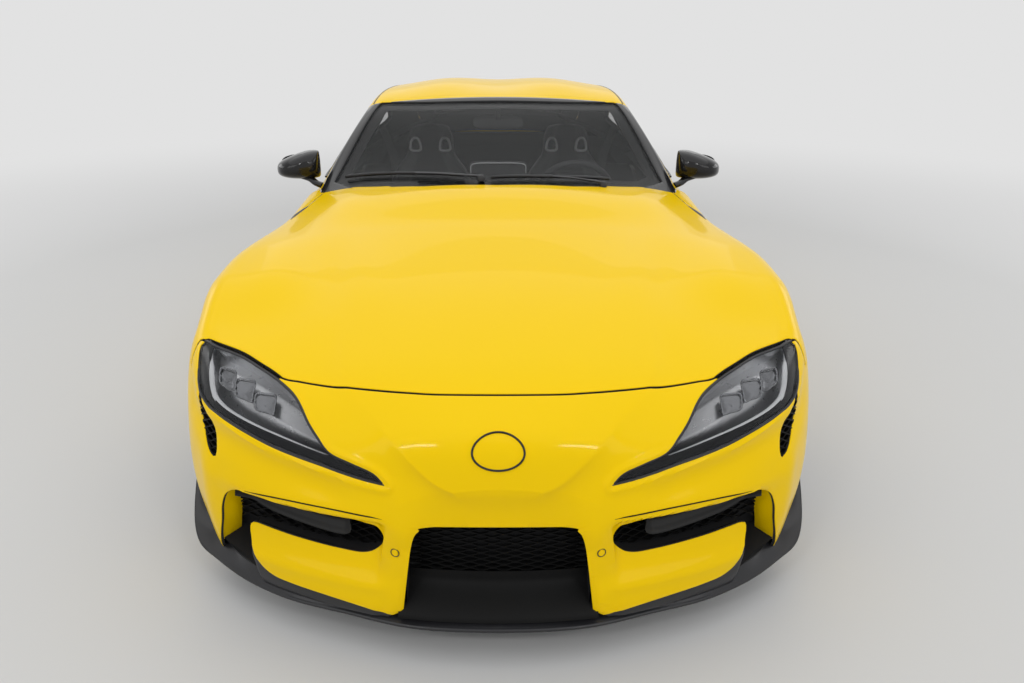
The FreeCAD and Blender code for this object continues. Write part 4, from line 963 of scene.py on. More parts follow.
def plastic(name, colour, rough, coat=0.0, grain=700.0, depth=0.0001, dust=0.0, shine=0.3):
    f = Finish(name, Coat_Weight=coat, Coat_Roughness=0.04, Coat_IOR=1.4,
               Specular_IOR_Level=shine)
    lift = f.noise(9.0, 3.0)
    lighter = tuple(min(1.0, c * 1.8 + 0.006) for c in colour)
    f.set(Base_Color=f.mix((lift * 0.5 + grime(f, dust)).limit(), colour, lighter))
    f.set(Roughness=rough + (lift - 0.5) * 0.10 + grime(f, dust) * 0.3)
    return f.bump(f.noise(grain, 2.0), depth, 0.6).material


def metal(name, colour, rough, scale=160.0, depth=0.0002, rust=0.0):
    f = Finish(name, Metallic=1.0)
    mottled = f.noise(scale, 4.0, 0.6)
    darker = tuple(c * 0.6 for c in colour)
    base = f.mix(mottled, darker, colour)
    if rust:
        spot = ((f.noise(26.0, 5.0, 0.7) - 0.56) * 9.0).limit() * rust
        base = f.mix(spot, base, (0.16, 0.06, 0.025))
        f.set(Metallic=1.0 - spot * 0.8)
    f.set(Base_Color=base, Roughness=rough + (mottled - 0.5) * 0.25)
    return f.bump(mottled, depth, 0.5).material


def glass(name, tint, see):
    """Clear sheet: alpha lets the far side through, the coat gives the reflection."""
    f = Finish(name, Coat_Weight=1.0, Coat_Roughness=0.01, Coat_IOR=1.4,
               Specular_IOR_Level=0.1)
    smear = f.noise(5.0, 3.0)
    f.set(Base_Color=f.mix(smear * 0.3, tint, tuple(t * 0.8 for t in tint)),
          Roughness=0.02 + smear * 0.05, Alpha=see)
    return f.material


def rubber():
    """Tyre: matt black with fine rings round the wall, from the radius attribute."""
    f = Finish("tyre rubber")
    radius = f.node("Attribute", {"attribute_name": "radius"}, 2)
    rings = (radius * 2600.0).wave() * 0.5 + 0.5
    dusty = f.noise(38.0, 4.0)
    f.set(Base_Color=f.mix(dusty * 0.6, (0.018, 0.018, 0.018), (0.045, 0.043, 0.040)),
          Roughness=0.72 + dusty * 0.2)
    return f.bump(rings * 0.5 + f.noise(420.0, 2.0) * 0.5, 0.0003, 0.5).material


def brushed_disc():
    """Machined iron: fine rings round the axle."""
    f = Finish("brake disc iron", Metallic=1.0)
    _, y, z = f.axes()
    front, rear = (
        ((y - axle) * (y - axle) + (z - radius) * (z - radius)) ** 0.5
        for axle, radius in ((FRONT_AXLE, FRONT_RADIUS), (REAR_AXLE, REAR_RADIUS))
    )
    radius = front.least(rear)
    rings = f.noise(1.0, 3.0, 0.7, f.node("CombineXYZ", X=radius * 900.0))
    f.set(Base_Color=f.mix(rings, (0.26, 0.25, 0.25), (0.55, 0.54, 0.53)),
          Roughness=0.24 + rings * 0.2)
    return f.bump(rings, 0.0002, 0.4).material


def woven(name, colour, scale=520.0, rough=0.85):
    f = Finish(name, Sheen_Weight=0.25, Sheen_Roughness=0.4)
    x, y, z = f.axes()
    weave = (x * scale * 2).wave() * (y * scale * 2 + z * scale).wave() * 0.5 + 0.5
    tone = f.noise(30.0, 3.0)
    light = tuple(c * 2.2 + 0.004 for c in colour)
    f.set(Base_Color=f.mix(weave * 0.5 + tone * 0.3, colour, light),
          Roughness=rough)
    return f.bump(weave, 0.0004, 0.7).material


def leather(name, colour):
    f = Finish(name, Roughness=0.5, Sheen_Weight=0.1)
    cells = f.node("TexVoronoi", {"feature": "DISTANCE_TO_EDGE"}, Vector=f.place(), Scale=420.0)
    tone = f.noise(7.0, 3.0)
    f.set(Base_Color=f.mix(tone, colour, tuple(c * 1.7 + 0.004 for c in colour)),
          Roughness=0.42 + tone * 0.2)
    return f.bump((cells * 12.0).limit(), 0.0005, 0.6).material


def lamp_red():
    """Tail lamp lens: deep red with fine vertical flutes behind a gloss coat."""
    f = Finish("red lens", Coat_Weight=1.0, Coat_Roughness=0.02)
    flutes = (f.axes()[0] * 900.0).wave() * 0.5 + 0.5
    f.set(Base_Color=f.mix(flutes, (0.20, 0.004, 0.004), (0.46, 0.012, 0.010)),
          Roughness=0.18)
    return f.bump(flutes, 0.0006, 0.5).material


PAINT = painted()
GLOSS = plastic("gloss black", (0.006, 0.006, 0.007), 0.20, 0.8, 260.0, 0.00005, shine=0.1)
SATIN = plastic("satin black", (0.012, 0.012, 0.014), 0.34, 0.15, 900.0, 0.0001, 0.2, 0.35)
GRAIN = plastic("grained black", (0.010, 0.010, 0.011), 0.66, 0.0, 1100.0, 0.0003, 0.1, 0.2)
MESH = plastic("grille black", (0.004, 0.004, 0.004), 0.50, 0.0, 500.0, 0.0001, 0.05, 0.10)
INNER = plastic("cabin trim", (0.028, 0.028, 0.030), 0.68, 0.0, 1500.0, 0.0003)
SHEET = plastic("underbody coating", (0.022, 0.022, 0.022), 0.85, 0.0, 240.0, 0.0008, 0.8)
FRIT = plastic("ceramic glass edge", (0.003, 0.003, 0.004), 0.20, 0.2, 300.0, 0.00002, shine=0.05)
WHEEL = plastic("wheel lacquer", (0.020, 0.020, 0.022), 0.30, 1.0, 600.0, 0.00006, 0.2)
CALIPER = plastic("caliper enamel", (0.24, 0.24, 0.25), 0.35, 0.6, 500.0, 0.0001, 0.2)
STEEL = metal("forged steel", (0.16, 0.16, 0.17), 0.5, 180.0, 0.0003, 0.5)
ALLOY = metal("cast alloy", (0.62, 0.63, 0.64), 0.48, 420.0, 0.0004)
CHROME = metal("polished pipe", (0.80, 0.80, 0.81), 0.10, 60.0, 0.00002)
GLASS = glass("cabin glass", (0.010, 0.013, 0.013), 0.22)
CLEAR = glass("lamp cover", (0.06, 0.065, 0.07), 0.10)
RUBBER, DISC, RED = rubber(), brushed_disc(), lamp_red()
CARPET = woven("floor carpet", (0.010, 0.010, 0.011), 380.0, 0.95)
SUEDE = woven("seat cloth", (0.022, 0.022, 0.023), 900.0, 0.92)
HIDE = leather("seat leather", (0.030, 0.030, 0.033))
VISOR = woven("sun visor cloth", (0.11, 0.11, 0.11), 900.0, 0.9)
MATT_SILVER = plastic("silver cabin trim", (0.62, 0.63, 0.64), 0.38, 0.2, 900.0, 0.00004)
print("finishes", len(bpy.data.materials))

# %% [markdown]
# ## Bodywork
# The bonnet is a clamshell from the nose line to the windscreen. The front bumper holds
# lamps and intakes, the wings run on to the doors, and the rear quarters are one
# pressing from the doors to the tail. All are cut from the two skins.

# %%
thin = skin(hull, 0.010)


def in_lamp(grow, drop=0):
    """Inside the headlamp's outline, grown in metres and dropped in millimetres."""
    return front_view([(x, z - drop) for x, z in HEADLAMP], grow, depth=0.72)


bonnet_part = region(thin, *in_bonnet(-SHUT / 2), outside(in_lamp(0.006)))
build("bonnet_panel", [shell(bonnet_part)], "bonnet", ["bonnet"], [PAINT, INNER])

around_bonnet = clear_of(in_bonnet(SHUT / 2))
around_lamp = outside(in_lamp(0.001))
off_centre_intake = outside(front_view(CENTRE_INTAKE, depth=0.4))
off_side_intake = outside(front_view(SIDE_INTAKE, depth=0.64))
nose = region(
    thin,
    side_of(1, NOSE_JOINT - SEAM / 2, -1),
    around_bonnet,
    around_lamp,
    off_centre_intake,
    off_side_intake,
    outside(front_view(WING_VENT, depth=0.72)),
    outside(front_view(NOSE_FOOT, depth=0.4)),
    front_arch,
)
build("nose_panel", [shell(nose)], "root", ["front_bumper"], [PAINT, SHEET])

# %%
around_door = outside(side_view(DOOR, grow=SHUT / 2))
off_skirt = outside(side_view(SKIRT, False, SEAM / 2))
off_house, above_hull = shifted(out_of_house, 0.004), shifted(out_of_hull, 0.006)
wing = region(
    thin,
    side_of(1, NOSE_JOINT + SEAM / 2),
    side_of(1, 1.91 - MIDDLE, -1),
    around_bonnet,
    around_lamp,
    front_arch,
    around_door,
    off_skirt,
    off_house,
    lambda x, y, z: np.abs(x) - 0.45,
)
build("wing_panels", [shell(wing)], "root", ["front_wings"], [PAINT, SHEET])

# %% [markdown]
# ## Doors, quarters, roof and tailgate
# A door is as thick as a hand is wide, so its inside is the same skin drawn in by 65 mm.
# The window frame belongs to the cabin's skin. The roof is painted, and the pillars
# beside the windscreen are black, so they are pieces of their own.

# %%
def inset_hull(side, top):
    """The hull with its side walls moved in by side and its top down by top."""
    lean = np.clip((hull[..., 2] - 0.72) / 0.16, 0, 1)
    inner = hull.copy()
    inner[..., 0] -= np.sign(hull[..., 0]) * np.minimum(side, np.abs(hull[..., 0]))
    inner[..., 2] -= top * lean
    return inner


thick = skin_between(hull, inset_hull(0.065, 0.030))
frame_skin = skin(house, 0.024)
in_door = side_view(DOOR, grow=-SHUT / 2)
for side, sign in SIDES:
    this_side = side_of(0, 0.3 * sign, sign)
    lower = region(thick, this_side, in_door, off_house)
    upper = region(frame_skin, this_side, in_door, outside(side_view(DOOR_WINDOW)), above_hull)
    build(f"door_panel_{side}", [shell(lower), shell(upper)], f"door_{side}",
          [f"door_{side}"], [PAINT, INNER])

# %%
ROOF_SPLIT, TAIL_SPLIT, HEADER = 2.862 - MIDDLE, 2.992 - MIDDLE, 2.255 - MIDDLE
roof_skin = region(
    frame_skin,
    side_of(1, 1.568 - MIDDLE),
    side_of(1, TAIL_SPLIT, -1),
    outside(plan_view(WINDSCREEN, 0.001)),
    around_door,
    above_hull,
)
roof_main = region(roof_skin, side_of(1, ROOF_SPLIT, -1))
roof_rear = region(roof_skin, side_of(1, ROOF_SPLIT), lambda x, y, z: 0.485 - np.abs(x))
roof_paint = region(roof_main, side_of(1, HEADER))
pillars = region(roof_main, side_of(1, HEADER, -1))
build("roof_panel", [shell(roof_paint), shell(roof_rear)], "root", ["roof"],
      [PAINT, INNER])
build("windscreen_pillars", [shell(pillars)], "root", ["roof"], [GLOSS, INNER])


# %%
def at_rear(outline, grow, from_y):
    """Positive inside an outline seen from the front, on the tail only."""
    inside = front_view(outline, grow, depth=9.0)
    return lambda x, y, z: np.minimum(inside(x, y, z), y - from_y)


def in_tail_lamp(grow):
    return at_rear(TAIL_LAMP, grow, 1.68)


def in_diffuser(grow):
    return at_rear(DIFFUSER, grow, 1.9)


rear_lower = region(
    skin_between(hull, inset_hull(0.060, 0.024)),
    side_of(1, 2.60 - MIDDLE),
    around_door,
    off_skirt,
    outside(side_view(REAR_BUMPER, False, SEAM / 2)),
    off_house,
    outside(in_tail_lamp(0.002)),
    rear_arch,
)
rear_upper = region(
    frame_skin,
    side_of(1, ROOF_SPLIT + SEAM),
    around_door,
    outside(plan_view(TAILGATE, SHUT / 2)),
    outside(side_view(QUARTER_WINDOW, grow=0.001)),
    above_hull,
    lambda x, y, z: np.maximum(np.abs(x) - 0.489, y - TAIL_SPLIT - SEAM),
)
build("rear_quarters", [shell(rear_lower), shell(rear_upper)], "root",
      ["rear_wings"], [PAINT, INNER])

tailgate_part = region(frame_skin, plan_view(TAILGATE, -SHUT / 2),
                       outside(plan_view(REAR_GLASS, 0.001)), above_hull)
build("tailgate_panel", [shell(tailgate_part)], "tailgate", ["tailgate"],
      [PAINT, INNER])

# %%
rear_skin = skin(hull, 0.018)
bumper_part = region(
    rear_skin,
    side_view(REAR_BUMPER, False, -SEAM / 2),
    outside(in_tail_lamp(0.002)),
    outside(in_diffuser(0.0)),
    rear_arch,
)
build("rear_bumper_panel", [shell(bumper_part)], "root", ["rear_bumper"],
      [PAINT, SHEET])

skirt_part = region(rear_skin, side_view(SKIRT, False, -SEAM / 2), front_arch, rear_arch)
build("side_skirts", [shell(skirt_part)], "root", ["sills"], [SATIN, SHEET])

# %% [markdown]
# ## Glass
# Each pane lies 6 mm below the skin. A black ceramic edge hides the glue line, so a band
# of the same surface just under the pane is made opaque and glossy.

# %%
pane_skin = skin(house, 0.011, 0.006)
edge_skin = skin(house, 0.0128, 0.0112)


def pane_with_edge(name, value, band, body, node, *extra):
    """A pane, and its black edge where the value is under the band's width."""
    pane = region(pane_skin, value, above_hull, *extra)
    build(name, [shell(pane, 0.0008)], body, [node], [GLASS, GLASS])
    strip = region(edge_skin, value, above_hull, lambda x, y, z: band - value(x, y, z), *extra)
    build(name + "_edge", [shell(strip, 0.0002)], body, [node], [FRIT, FRIT])


pane_with_edge("windscreen", plan_view(WINDSCREEN, -0.001), 0.055, "root", "fixed_glass")
for side, sign in SIDES:
    this_side = side_of(0, 0.3 * sign, sign)
    pane_with_edge(f"door_window_{side}", side_view(DOOR_WINDOW, grow=-0.001), 0.022,
                   f"door_{side}", f"door_glass_{side}", this_side)
    pane_with_edge(f"quarter_window_{side}", side_view(QUARTER_WINDOW, grow=-0.001), 0.030,
                   "root", "fixed_glass", this_side)
pane_with_edge("rear_window", plan_view(REAR_GLASS, -0.001), 0.050, "tailgate",
               "tailgate_glass")

# %% [markdown]
# ## Headlamps
# Under a clear cover lie a reflector bowl, a bright bent strip along its outer and lower
# edge, a black band below that and three small square light units. The cover and the band
# are cut from the nose skin itself, so they stay flush with the paint.

# %%
def nose_path(outline, inset, steps=6, closed=False):
    """A line on the nose through (half width, height) points, inset below the skin."""
    line = outline_points(outline, steps, closed)
    return on_nose(line[:, 0], line[:, 1], inset)


cover = region(skin(hull, 0.0045, 0.002), in_lamp(-0.0025))
build("headlamp_covers", [shell(cover, 0.0008)], "root", ["headlamps"],
      [CLEAR, CLEAR])

BAND = [(826, 740), (806, 700), (792, 660), (772, 637), (735, 624), (688, 615), (573, 596),
        (479, 578), (428, 568), (428, 568), (405, 600), (405, 600), (240, 560), (240, 450),
        (500, 450), (820, 520), (920, 600), (920, 740), (920, 740)]
band = region(skin(hull, 0.0100, 0.0062), in_lamp(-0.0025), front_view(BAND, depth=0.72))
build("headlamp_bands", [shell(band, 0.0005)], "root", ["headlamps"], [FRIT, FRIT])

# %%
def bowl_finish():
    """Reflector: silver at the outer end of the lamp and dark towards the nose; the fade between
    them is a painted reflection.
    """
    f = Finish("lamp bowl", Metallic=0.85, Coat_Weight=1.0, Coat_Roughness=0.04)
    # Painted reflection: the bowl turns from dark near the nose to silver at the lamp's outer end.
    painted_reflection = ((f.axes()[0].size() - 0.40) * 2.4).limit()
    fine = f.noise(60.0, 3.0)
    f.set(Base_Color=f.mix(painted_reflection, (0.030, 0.031, 0.034), (0.78, 0.79, 0.82)),
          Roughness=0.22 + fine * 0.15)
    return f.bump(fine, 0.0006, 0.4).material


BOWL = bowl_finish()
UNIT = metal("light unit glass", (0.24, 0.245, 0.26), 0.22, 60.0, 0.0001)
LIGHT = Finish("light strip", Roughness=0.25, Coat_Weight=0.5)
LIGHT.set(Base_Color=LIGHT.mix(LIGHT.noise(40.0), (0.56, 0.57, 0.59), (0.66, 0.67, 0.69)))

bowl = region(skin(hull, 0.052, 0.048), in_lamp(0.004), in_lamp(0.004, 26))
wall = sheet(np.stack([nose_path(HEADLAMP, depth, 6, True) for depth in (0.003, 0.049)]))
build("headlamp_bowls", [shell(bowl, 0.0), both_sides(wall)], "root",
      ["headlamps"], [BOWL, BOWL])

STRIP = [(826, 716), (806, 697), (792, 660), (775, 638), (738, 625), (688, 616), (573, 597),
         (479, 579), (428, 569)]
strip_path = nose_path(STRIP, 0.013)
share = np.linspace(0, 1, len(strip_path))
strip_size = 0.0075 - 0.0032 * step(share, 0.32, 0.85)
strip = tube(strip_path, strip_size, 10, flat=0.8)
build("headlamp_strips", [both_sides(strip)], "root", ["headlamps"],
      [LIGHT.material])

# %%
def square_unit(x, z, side, inset):
    """Rounded square on the nose, a little flat: a superellipse of power six."""
    c, s = np.cos(circle(40)), np.sin(circle(40))
    r = (np.abs(c) ** 6 + np.abs(s) ** 6) ** (-1 / 6) * side / 2
    return on_nose(x + r * c, z + r * s * 0.62, inset)


units, lenses = [], []
for x, z in ((0.752, 0.692), (0.688, 0.684), (0.620, 0.668)):
    units.append(tube(square_unit(x, z, 0.060, 0.026), 0.0030, 8, True))
    lenses.append(sheet(np.stack([square_unit(x, z, 0.058 * k, 0.030 + 0.004 * (1 - k * k))
                                  for k in (1.0, 0.8, 0.5, 0.04)])))
gasket = tube(nose_path(HEADLAMP, 0.0030, 6, True), 0.0042, 8, True)
for name, part, slot, finish in (
    ("unit_frames", merged(*units), "gloss_black", UNIT),
    ("unit_lenses", merged(*lenses), "lamp_clear", UNIT),
    ("gaskets", gasket, "satin_black", SATIN),
):
    build(f"headlamp_{name}", [both_sides(part)], "root", ["headlamps"], [finish])

# %% [markdown]
# ## Grilles and intakes
# The mesh is a set of wavy bars whose neighbours wave the other way, so that they meet
# and leave long diamonds. Behind each opening a black duct closes the view.

# %%
def mesh_bars(span_x, span_z, pitch, length, depth_of, bar, deep=2.4):
    """Bars that wave about their rows, half a pitch less the bar's own width high; every
    other row is reversed."""
    rows, x = np.arange(*span_z, pitch), np.arange(*span_x, length / 8)
    parts = []
    for number, row in enumerate(rows):
        wave = np.sin(2 * np.pi * x / length + np.pi * (number % 2))
        z = row + wave * (pitch / 2 - bar * 0.6)
        path = np.stack([x, depth_of(x, z), z], -1)
        parts.append(tube(path, bar, 6, flat=deep, up=(0, 1, 0)))
    return merged(*parts)


def inside_front(outline, grow):
    shape = outline_points(outline)
    return lambda x, y, z: inside_of(np.abs(x), z, shape) + grow


def duct(outline, inset, back, shrink):
    """Walls from the skin straight back, drawn in towards the middle of the opening."""
    line = outline_points(outline)
    centre = line.mean(0)
    small = centre + (line - centre) * shrink
    first = on_nose(line[:, 0], line[:, 1], inset)
    last = np.stack([small[:, 0], first[:, 1] * 0 + back, small[:, 1]], -1)
    middle = first * 0.5 + last * 0.5
    return sheet(np.stack([first, middle, last, last * 0.02 + last.mean(0) * 0.98]))


def central_depth(x, z):
    return 0.112 - MIDDLE + 0.30 * x**2 + 0.10 * (0.40 - z)


def side_depth(x, z):
    return on_nose(np.abs(x), 0 * x + 0.37)[:, 1] + 0.040


def vent_depth(x, z):
    return on_nose(np.abs(x), z, 0.012)[:, 1]


mesh = mesh_bars((-0.262, 0.262), (0.226, 0.41), 0.0105, 0.060, central_depth, 0.0020)
mesh = region(mesh, inside_front(CENTRE_INTAKE, 0.004))
side_mesh = mesh_bars((0.29, 0.72), (0.300, 0.425), 0.0115, 0.046, side_depth, 0.0020)
side_mesh = region(side_mesh, inside_front(SIDE_INTAKE, 0.004))
vent_mesh = mesh_bars((0.75, 0.845), (0.475, 0.665), 0.0095, 0.030, vent_depth, 0.0018, 1.6)
vent_mesh = region(vent_mesh, inside_front(WING_VENT, -0.0005))
build("grille_mesh", [mesh, both_sides(side_mesh), both_sides(vent_mesh)], "root",
      ["grilles"], [MESH])

# %%
CENTRE_WALL = [(240, 110), (240, 110), (236, 276), (221, 366), (202, 397), (168, 405),
               (168, 405), (0, 405)]
line = outline_points(CENTRE_WALL, 8, False)
line = np.concatenate([line, (line[:-1] * (-1, 1))[::-1]])
first = on_nose(np.abs(line[:, 0]), np.maximum(line[:, 1], 0.135), 0.003)
first[:, 0], first[:, 2] = line[:, 0], line[:, 1]
last = first + (0, 0.13, 0)
centre_duct = sheet(np.stack([first, (first + last) / 2, last]), False)
back_x, back_z = np.meshgrid(np.linspace(-0.27, 0.27, 12), np.linspace(0.11, 0.41, 8),
                             indexing="ij")
centre_back = sheet(np.stack([back_x, 0 * back_x + 0.195 - MIDDLE, back_z], -1), False)
SIDE_DUCT = [(x, max(z, 168)) for x, z in SIDE_INTAKE if z != 90]
side_duct = duct(SIDE_DUCT, 0.012, 0.36 - MIDDLE, 0.80)
vent_duct = duct(WING_VENT, 0.008, 0.52 - MIDDLE, 0.70)
build("intake_ducts", [centre_duct, centre_back, both_sides(side_duct), both_sides(vent_duct)],
      "root", ["grilles"], [GRAIN])

# %%
BLADE = [(700, 421), (742, 396), (764, 350), (776, 290), (788, 235), (799, 190)]
t = np.linspace(0, 1, 8)[:, None, None]
blade_bow = (0.008 * np.sin(np.pi * t / 2)) * np.array([1, 0, 0])
blade_wall = nose_path(BLADE, 0.002, 8) + t * np.array([-0.038, 0.050, 0.0]) - blade_bow
blade_part = skin_between(blade_wall, blade_wall + (0.003, 0, 0))
build("intake_side_blades", [both_sides(shell(blade_part, 0.0005))], "root",
      ["front_bumper"], [PAINT])

# %% [markdown]
# ## Chin, vanes, sensors and the bare badge
# Below the mesh a smooth black chin runs forward to the lip. Each side intake has one
# dark vane whose inner end curls up, and a thin seam above it. The badge on the nose is
# an oval rim round a bare field, because a part in a library carries no maker's sign.

# %%
x, t = np.meshgrid(np.linspace(-0.262, 0.262, 60), np.linspace(0, 1, 20), indexing="ij")
z = 0.232 - 0.092 * t
forward = 0.122 - 0.080 * step(t, 0.25, 1.0) - 0.012 * t
chin = np.stack([x, forward + 0.30 * x**2 - MIDDLE, z], -1)
chin_part = skin_between(chin, chin + (0, 0.012, -0.004))
build("chin", [shell((chin_part[0], chin_part[1][:, ::-1]))], "root",
      ["grilles"], [MESH, MESH])

BLADE_GLOSS = plastic("intake blade gloss", (0.012, 0.012, 0.012), 0.45, 0.1, 300.0, 0.00005,
                      shine=0.15)
VANE = [(722, 388), (640, 362), (560, 350), (480, 341), (430, 338), (405, 343), (394, 358),
        (396, 384)]
edge_front, sunk = nose_path(VANE, 0.004, 8), np.array([0, 0.024, 0.030])
vane_grid = np.stack([edge_front + sunk * t for t in np.linspace(0, 1, 6)])
vane = shell(skin_between(vane_grid, vane_grid + (0, 0.004, 0.006)), 0.0015)
build("intake_blades", [both_sides(vane)], "root", ["intake_vanes"],
      [BLADE_GLOSS])

SEAM_LINE = [(671, 429), (564, 438), (447, 440), (336, 436), (292, 430)]
seam_path = nose_path(SEAM_LINE, -0.0004, 10)
share = np.linspace(0, 1, len(seam_path))
seam_width = 0.0004 + 0.0014 * step(share, 0, 0.15) * (1 - step(share, 0.75, 1))
seam = tube(seam_path, seam_width, 6)
build("intake_seams", [both_sides(seam)], "root", ["front_bumper"], [MESH])

# %%
BADGE_Z = 0.606


def badge_oval(half_width, half_height, inset):
    turn = circle(72)
    return on_nose(half_width * np.cos(turn), BADGE_Z + half_height * np.sin(turn), inset)


badge = sheet(np.stack([badge_oval(0.062 * k, 0.036 * k, -0.0012 - 0.0012 * (1 - k * k))
                        for k in (1.0, 0.8, 0.55, 0.3, 0.02)]))
badge_rim = tube(badge_oval(0.064, 0.038, -0.0015), 0.0028, 8, True)
build("badge_rim", [badge_rim], "root", ["front_bumper"], [GLOSS])
build("badge_field", [badge], "root", ["front_bumper"], [PAINT])

# %%
spots = on_nose([0.262, 0.270, 0.254, 0.262, 0.262], [0.333, 0.333, 0.333, 0.343, 0.323])
sideways, upward = spots[1] - spots[2], spots[3] - spots[4]
sideways, upward = sideways / np.linalg.norm(sideways), upward / np.linalg.norm(upward)
facing = np.cross(sideways, upward)


def sensor_ring(radius, inset):
    turn = circle(32)
    ring = np.outer(np.cos(turn), sideways) + np.outer(np.sin(turn), upward)
    return spots[0] + radius * ring + facing * (0.0022 - inset)


SENSOR = ((0.0095, 0.001), (0.0085, -0.0012), (0.004, -0.0018), (0.0003, -0.002))
sensor = sheet(np.stack([sensor_ring(radius, inset) for radius, inset in SENSOR]))
collar = tube(sensor_ring(0.0112, 0.0), 0.0012, 6, True)
build("parking_sensors", [both_sides(sensor)], "root", ["front_bumper"], [PAINT])
build("sensor_rings", [both_sides(collar)], "root", ["front_bumper"], [SATIN])

# %% [markdown]
# ## Front lip
# A table gives the lip's outer edge and the line where it meets the bumper. Between
# them the top face is a smooth sweep with a hollow, and the outer edge rolls under.

# %%
# x, station and height of the outer edge, then of the line on the bumper, in millimetres
LIP = np.array([
    (0, 32, 120, 0, 70, 142), (161, 39, 120, 155, 72, 134), (268, 57, 120, 262, 80, 129),
    (408, 101, 120, 402, 124, 142), (553, 147, 120, 545, 170, 152),
    (640, 188, 120, 632, 214, 170), (705, 225, 122, 676, 268, 200),
    (773, 272, 126, 716, 330, 205), (840, 325, 132, 770, 372, 200),
    (893, 372, 146, 830, 410, 206), (917, 420, 190, 872, 448, 262),
    (922, 470, 258, 892, 492, 322), (922, 520, 318, 900, 532, 352),
    (920, 556, 345, 905, 560, 362),
], float) / 1000
LIP_EDGE = 0.006
spacing = np.linalg.norm(np.diff(LIP[:, :2], axis=0), axis=1) + 0.01
knots = np.concatenate([[0], np.cumsum(spacing)])
lip = spline(knots, LIP, np.linspace(0, knots[-1], 120))
outer, inner = lip[:, :3] - (0, MIDDLE, 0), lip[:, 3:] - (0, MIDDLE, 0)
t = np.linspace(0, 1, 14)[None, :, None]
top = inner[:, None] * (1 - t) + outer[:, None] * t
hollow = np.sin(np.pi * t) * 0.010 * step(lip[:, 0], 0.50, 0.72)[:, None, None]
top = top - hollow * (0, 0, 1)
sideways = np.cross(np.gradient(outer, axis=0), (0, 0, 1.0))
sideways /= np.linalg.norm(sideways, axis=1, keepdims=True)
roll = np.linspace(0, np.pi, 8)[None, 1:, None]
rolled = LIP_EDGE * (np.sin(roll) * sideways[:, None])
rolled = outer[:, None] + rolled + LIP_EDGE * (np.cos(roll) - 1) * np.array([0, 0, 1])
under = rolled[:, -1:] * (1 - t[:, 1:]) + (inner[:, None] - (0, 0, 0.030)) * t[:, 1:]
lip_grid = np.concatenate([top, rolled, under], 1)
n, m = lip_grid.shape[:2]
points, faces = sheet(lip_grid)
end = np.arange(m) + (n - 1) * m
end_fan = np.stack([end, np.roll(end, -1), np.full(m, n * m)], 1)
lip_half = (np.concatenate([points, lip_grid[-1].mean(0)[None]]),
            np.concatenate([faces, end_fan]))
foot = region(skin(hull, 0.010, 0.0015), front_view(NOSE_FOOT, 0.0012, depth=0.4),
              off_side_intake, off_centre_intake)
build("front_lip_panel", [mirror_x(lip_half), lip_half, shell(foot)], "root",
      ["front_lip"], [SATIN, SATIN])

# %% [markdown]
# ## Mirrors, wipers and window trim
# Each mirror is a D-shaped shell swept outwards: the table gives its sections. It sits
# on a curved arm at the window's sill. The wipers lie on the glass, so their paths are
# looked up on the cabin's skin. The small black blade at the end of the bonnet's rear
# shut line is a vent.

# %%
def on_house(x, s, inset=0.0):
    """Points of the cabin's skin at half width x and station s, by halving in height."""
    x, y = np.asarray(x, float), np.asarray(s, float) - MIDDLE
    z = halved(lambda level: out_of_house(x, y, level) <= 0, 0.90, 1.40, x.shape)
    return np.stack([x, y, z], -1) - slope_of(out_of_house, x, y, z) * inset


def line_at(points, steps):
    """A curve through (x, station, height) points in metres."""
    return through(np.array(points) - (0, MIDDLE, 0), False, steps)


# x, front and rear station, lower and upper height, in millimetres
MIRROR = np.array([
    (797, 1925, 1945, 958, 1000), (800, 1905, 1950, 932, 1032), (812, 1880, 1954, 922, 1041),
    (850, 1862, 1957, 918, 1040), (900, 1858, 1958, 918, 1026), (940, 1866, 1958, 922, 1011),
    (966, 1886, 1957, 928, 998), (981, 1910, 1955, 936, 986), (987, 1930, 1950, 948, 974),
], float) / 1000
mirror_rows = spline(np.linspace(0, 1, len(MIRROR)), MIRROR, np.linspace(0, 1, 40))
case_x, near, far, low, high = (mirror_rows[:, k : k + 1] for k in range(5))
cosine, sine = np.cos(circle(48)), np.sin(circle(48))
forward = np.where(cosine > 0, power(cosine, 0.85), 0.14 * cosine)
case_y = far - MIDDLE - (far - near) * forward
case_z = (high + low) / 2 + (high - low) / 2 * power(sine, 0.80)
case_x = np.broadcast_to(case_x, case_y.shape)
housing = sheet(closed_ends(np.stack([case_x, case_y, case_z], -1)))
arm_path = line_at([(0.786, 1.905, 0.893), (0.812, 1.900, 0.905), (0.836, 1.905, 0.922),
                    (0.870, 1.915, 0.930), (0.905, 1.920, 0.934)], 8)
arm = tube(arm_path, np.linspace(0.026, 0.018, len(arm_path)), 14, flat=0.55)
foot_path = line_at([(0.768, 1.870, 0.893), (0.778, 1.905, 0.897), (0.768, 1.945, 0.893)], 8)
foot = tube(foot_path, 0.020, 12, flat=0.6)
PANE_X, PANE_Y, PANE_Z = 0.892, 1.9655 - MIDDLE, 0.976
pane_x = PANE_X + 0.080 * power(cosine, 0.6)
pane_z = PANE_Z + (0.044 - 0.14 * (pane_x - PANE_X)) * power(sine, 0.6)
rim = np.stack([pane_x, 0 * pane_x + PANE_Y, pane_z], -1)
MIRROR_GLASS = metal("mirror glass", (0.78, 0.80, 0.82), 0.04, 30.0, 0.00001)
for side, sign in SIDES:
    for name, part, slot, finish in (
        ("shell", merged(housing, arm, foot), "gloss_black", GLOSS),
        ("pane", filled(rim, (1, 0.6, 0.02), 0.001), "cabin_glass", MIRROR_GLASS),
        ("collar", tube(rim, 0.004, 8, True), "satin_black", SATIN),
    ):
        build(f"mirror_{name}_{side}", [to_side(part, sign)], f"door_{side}",
              [f"mirror_{side}"], [finish])

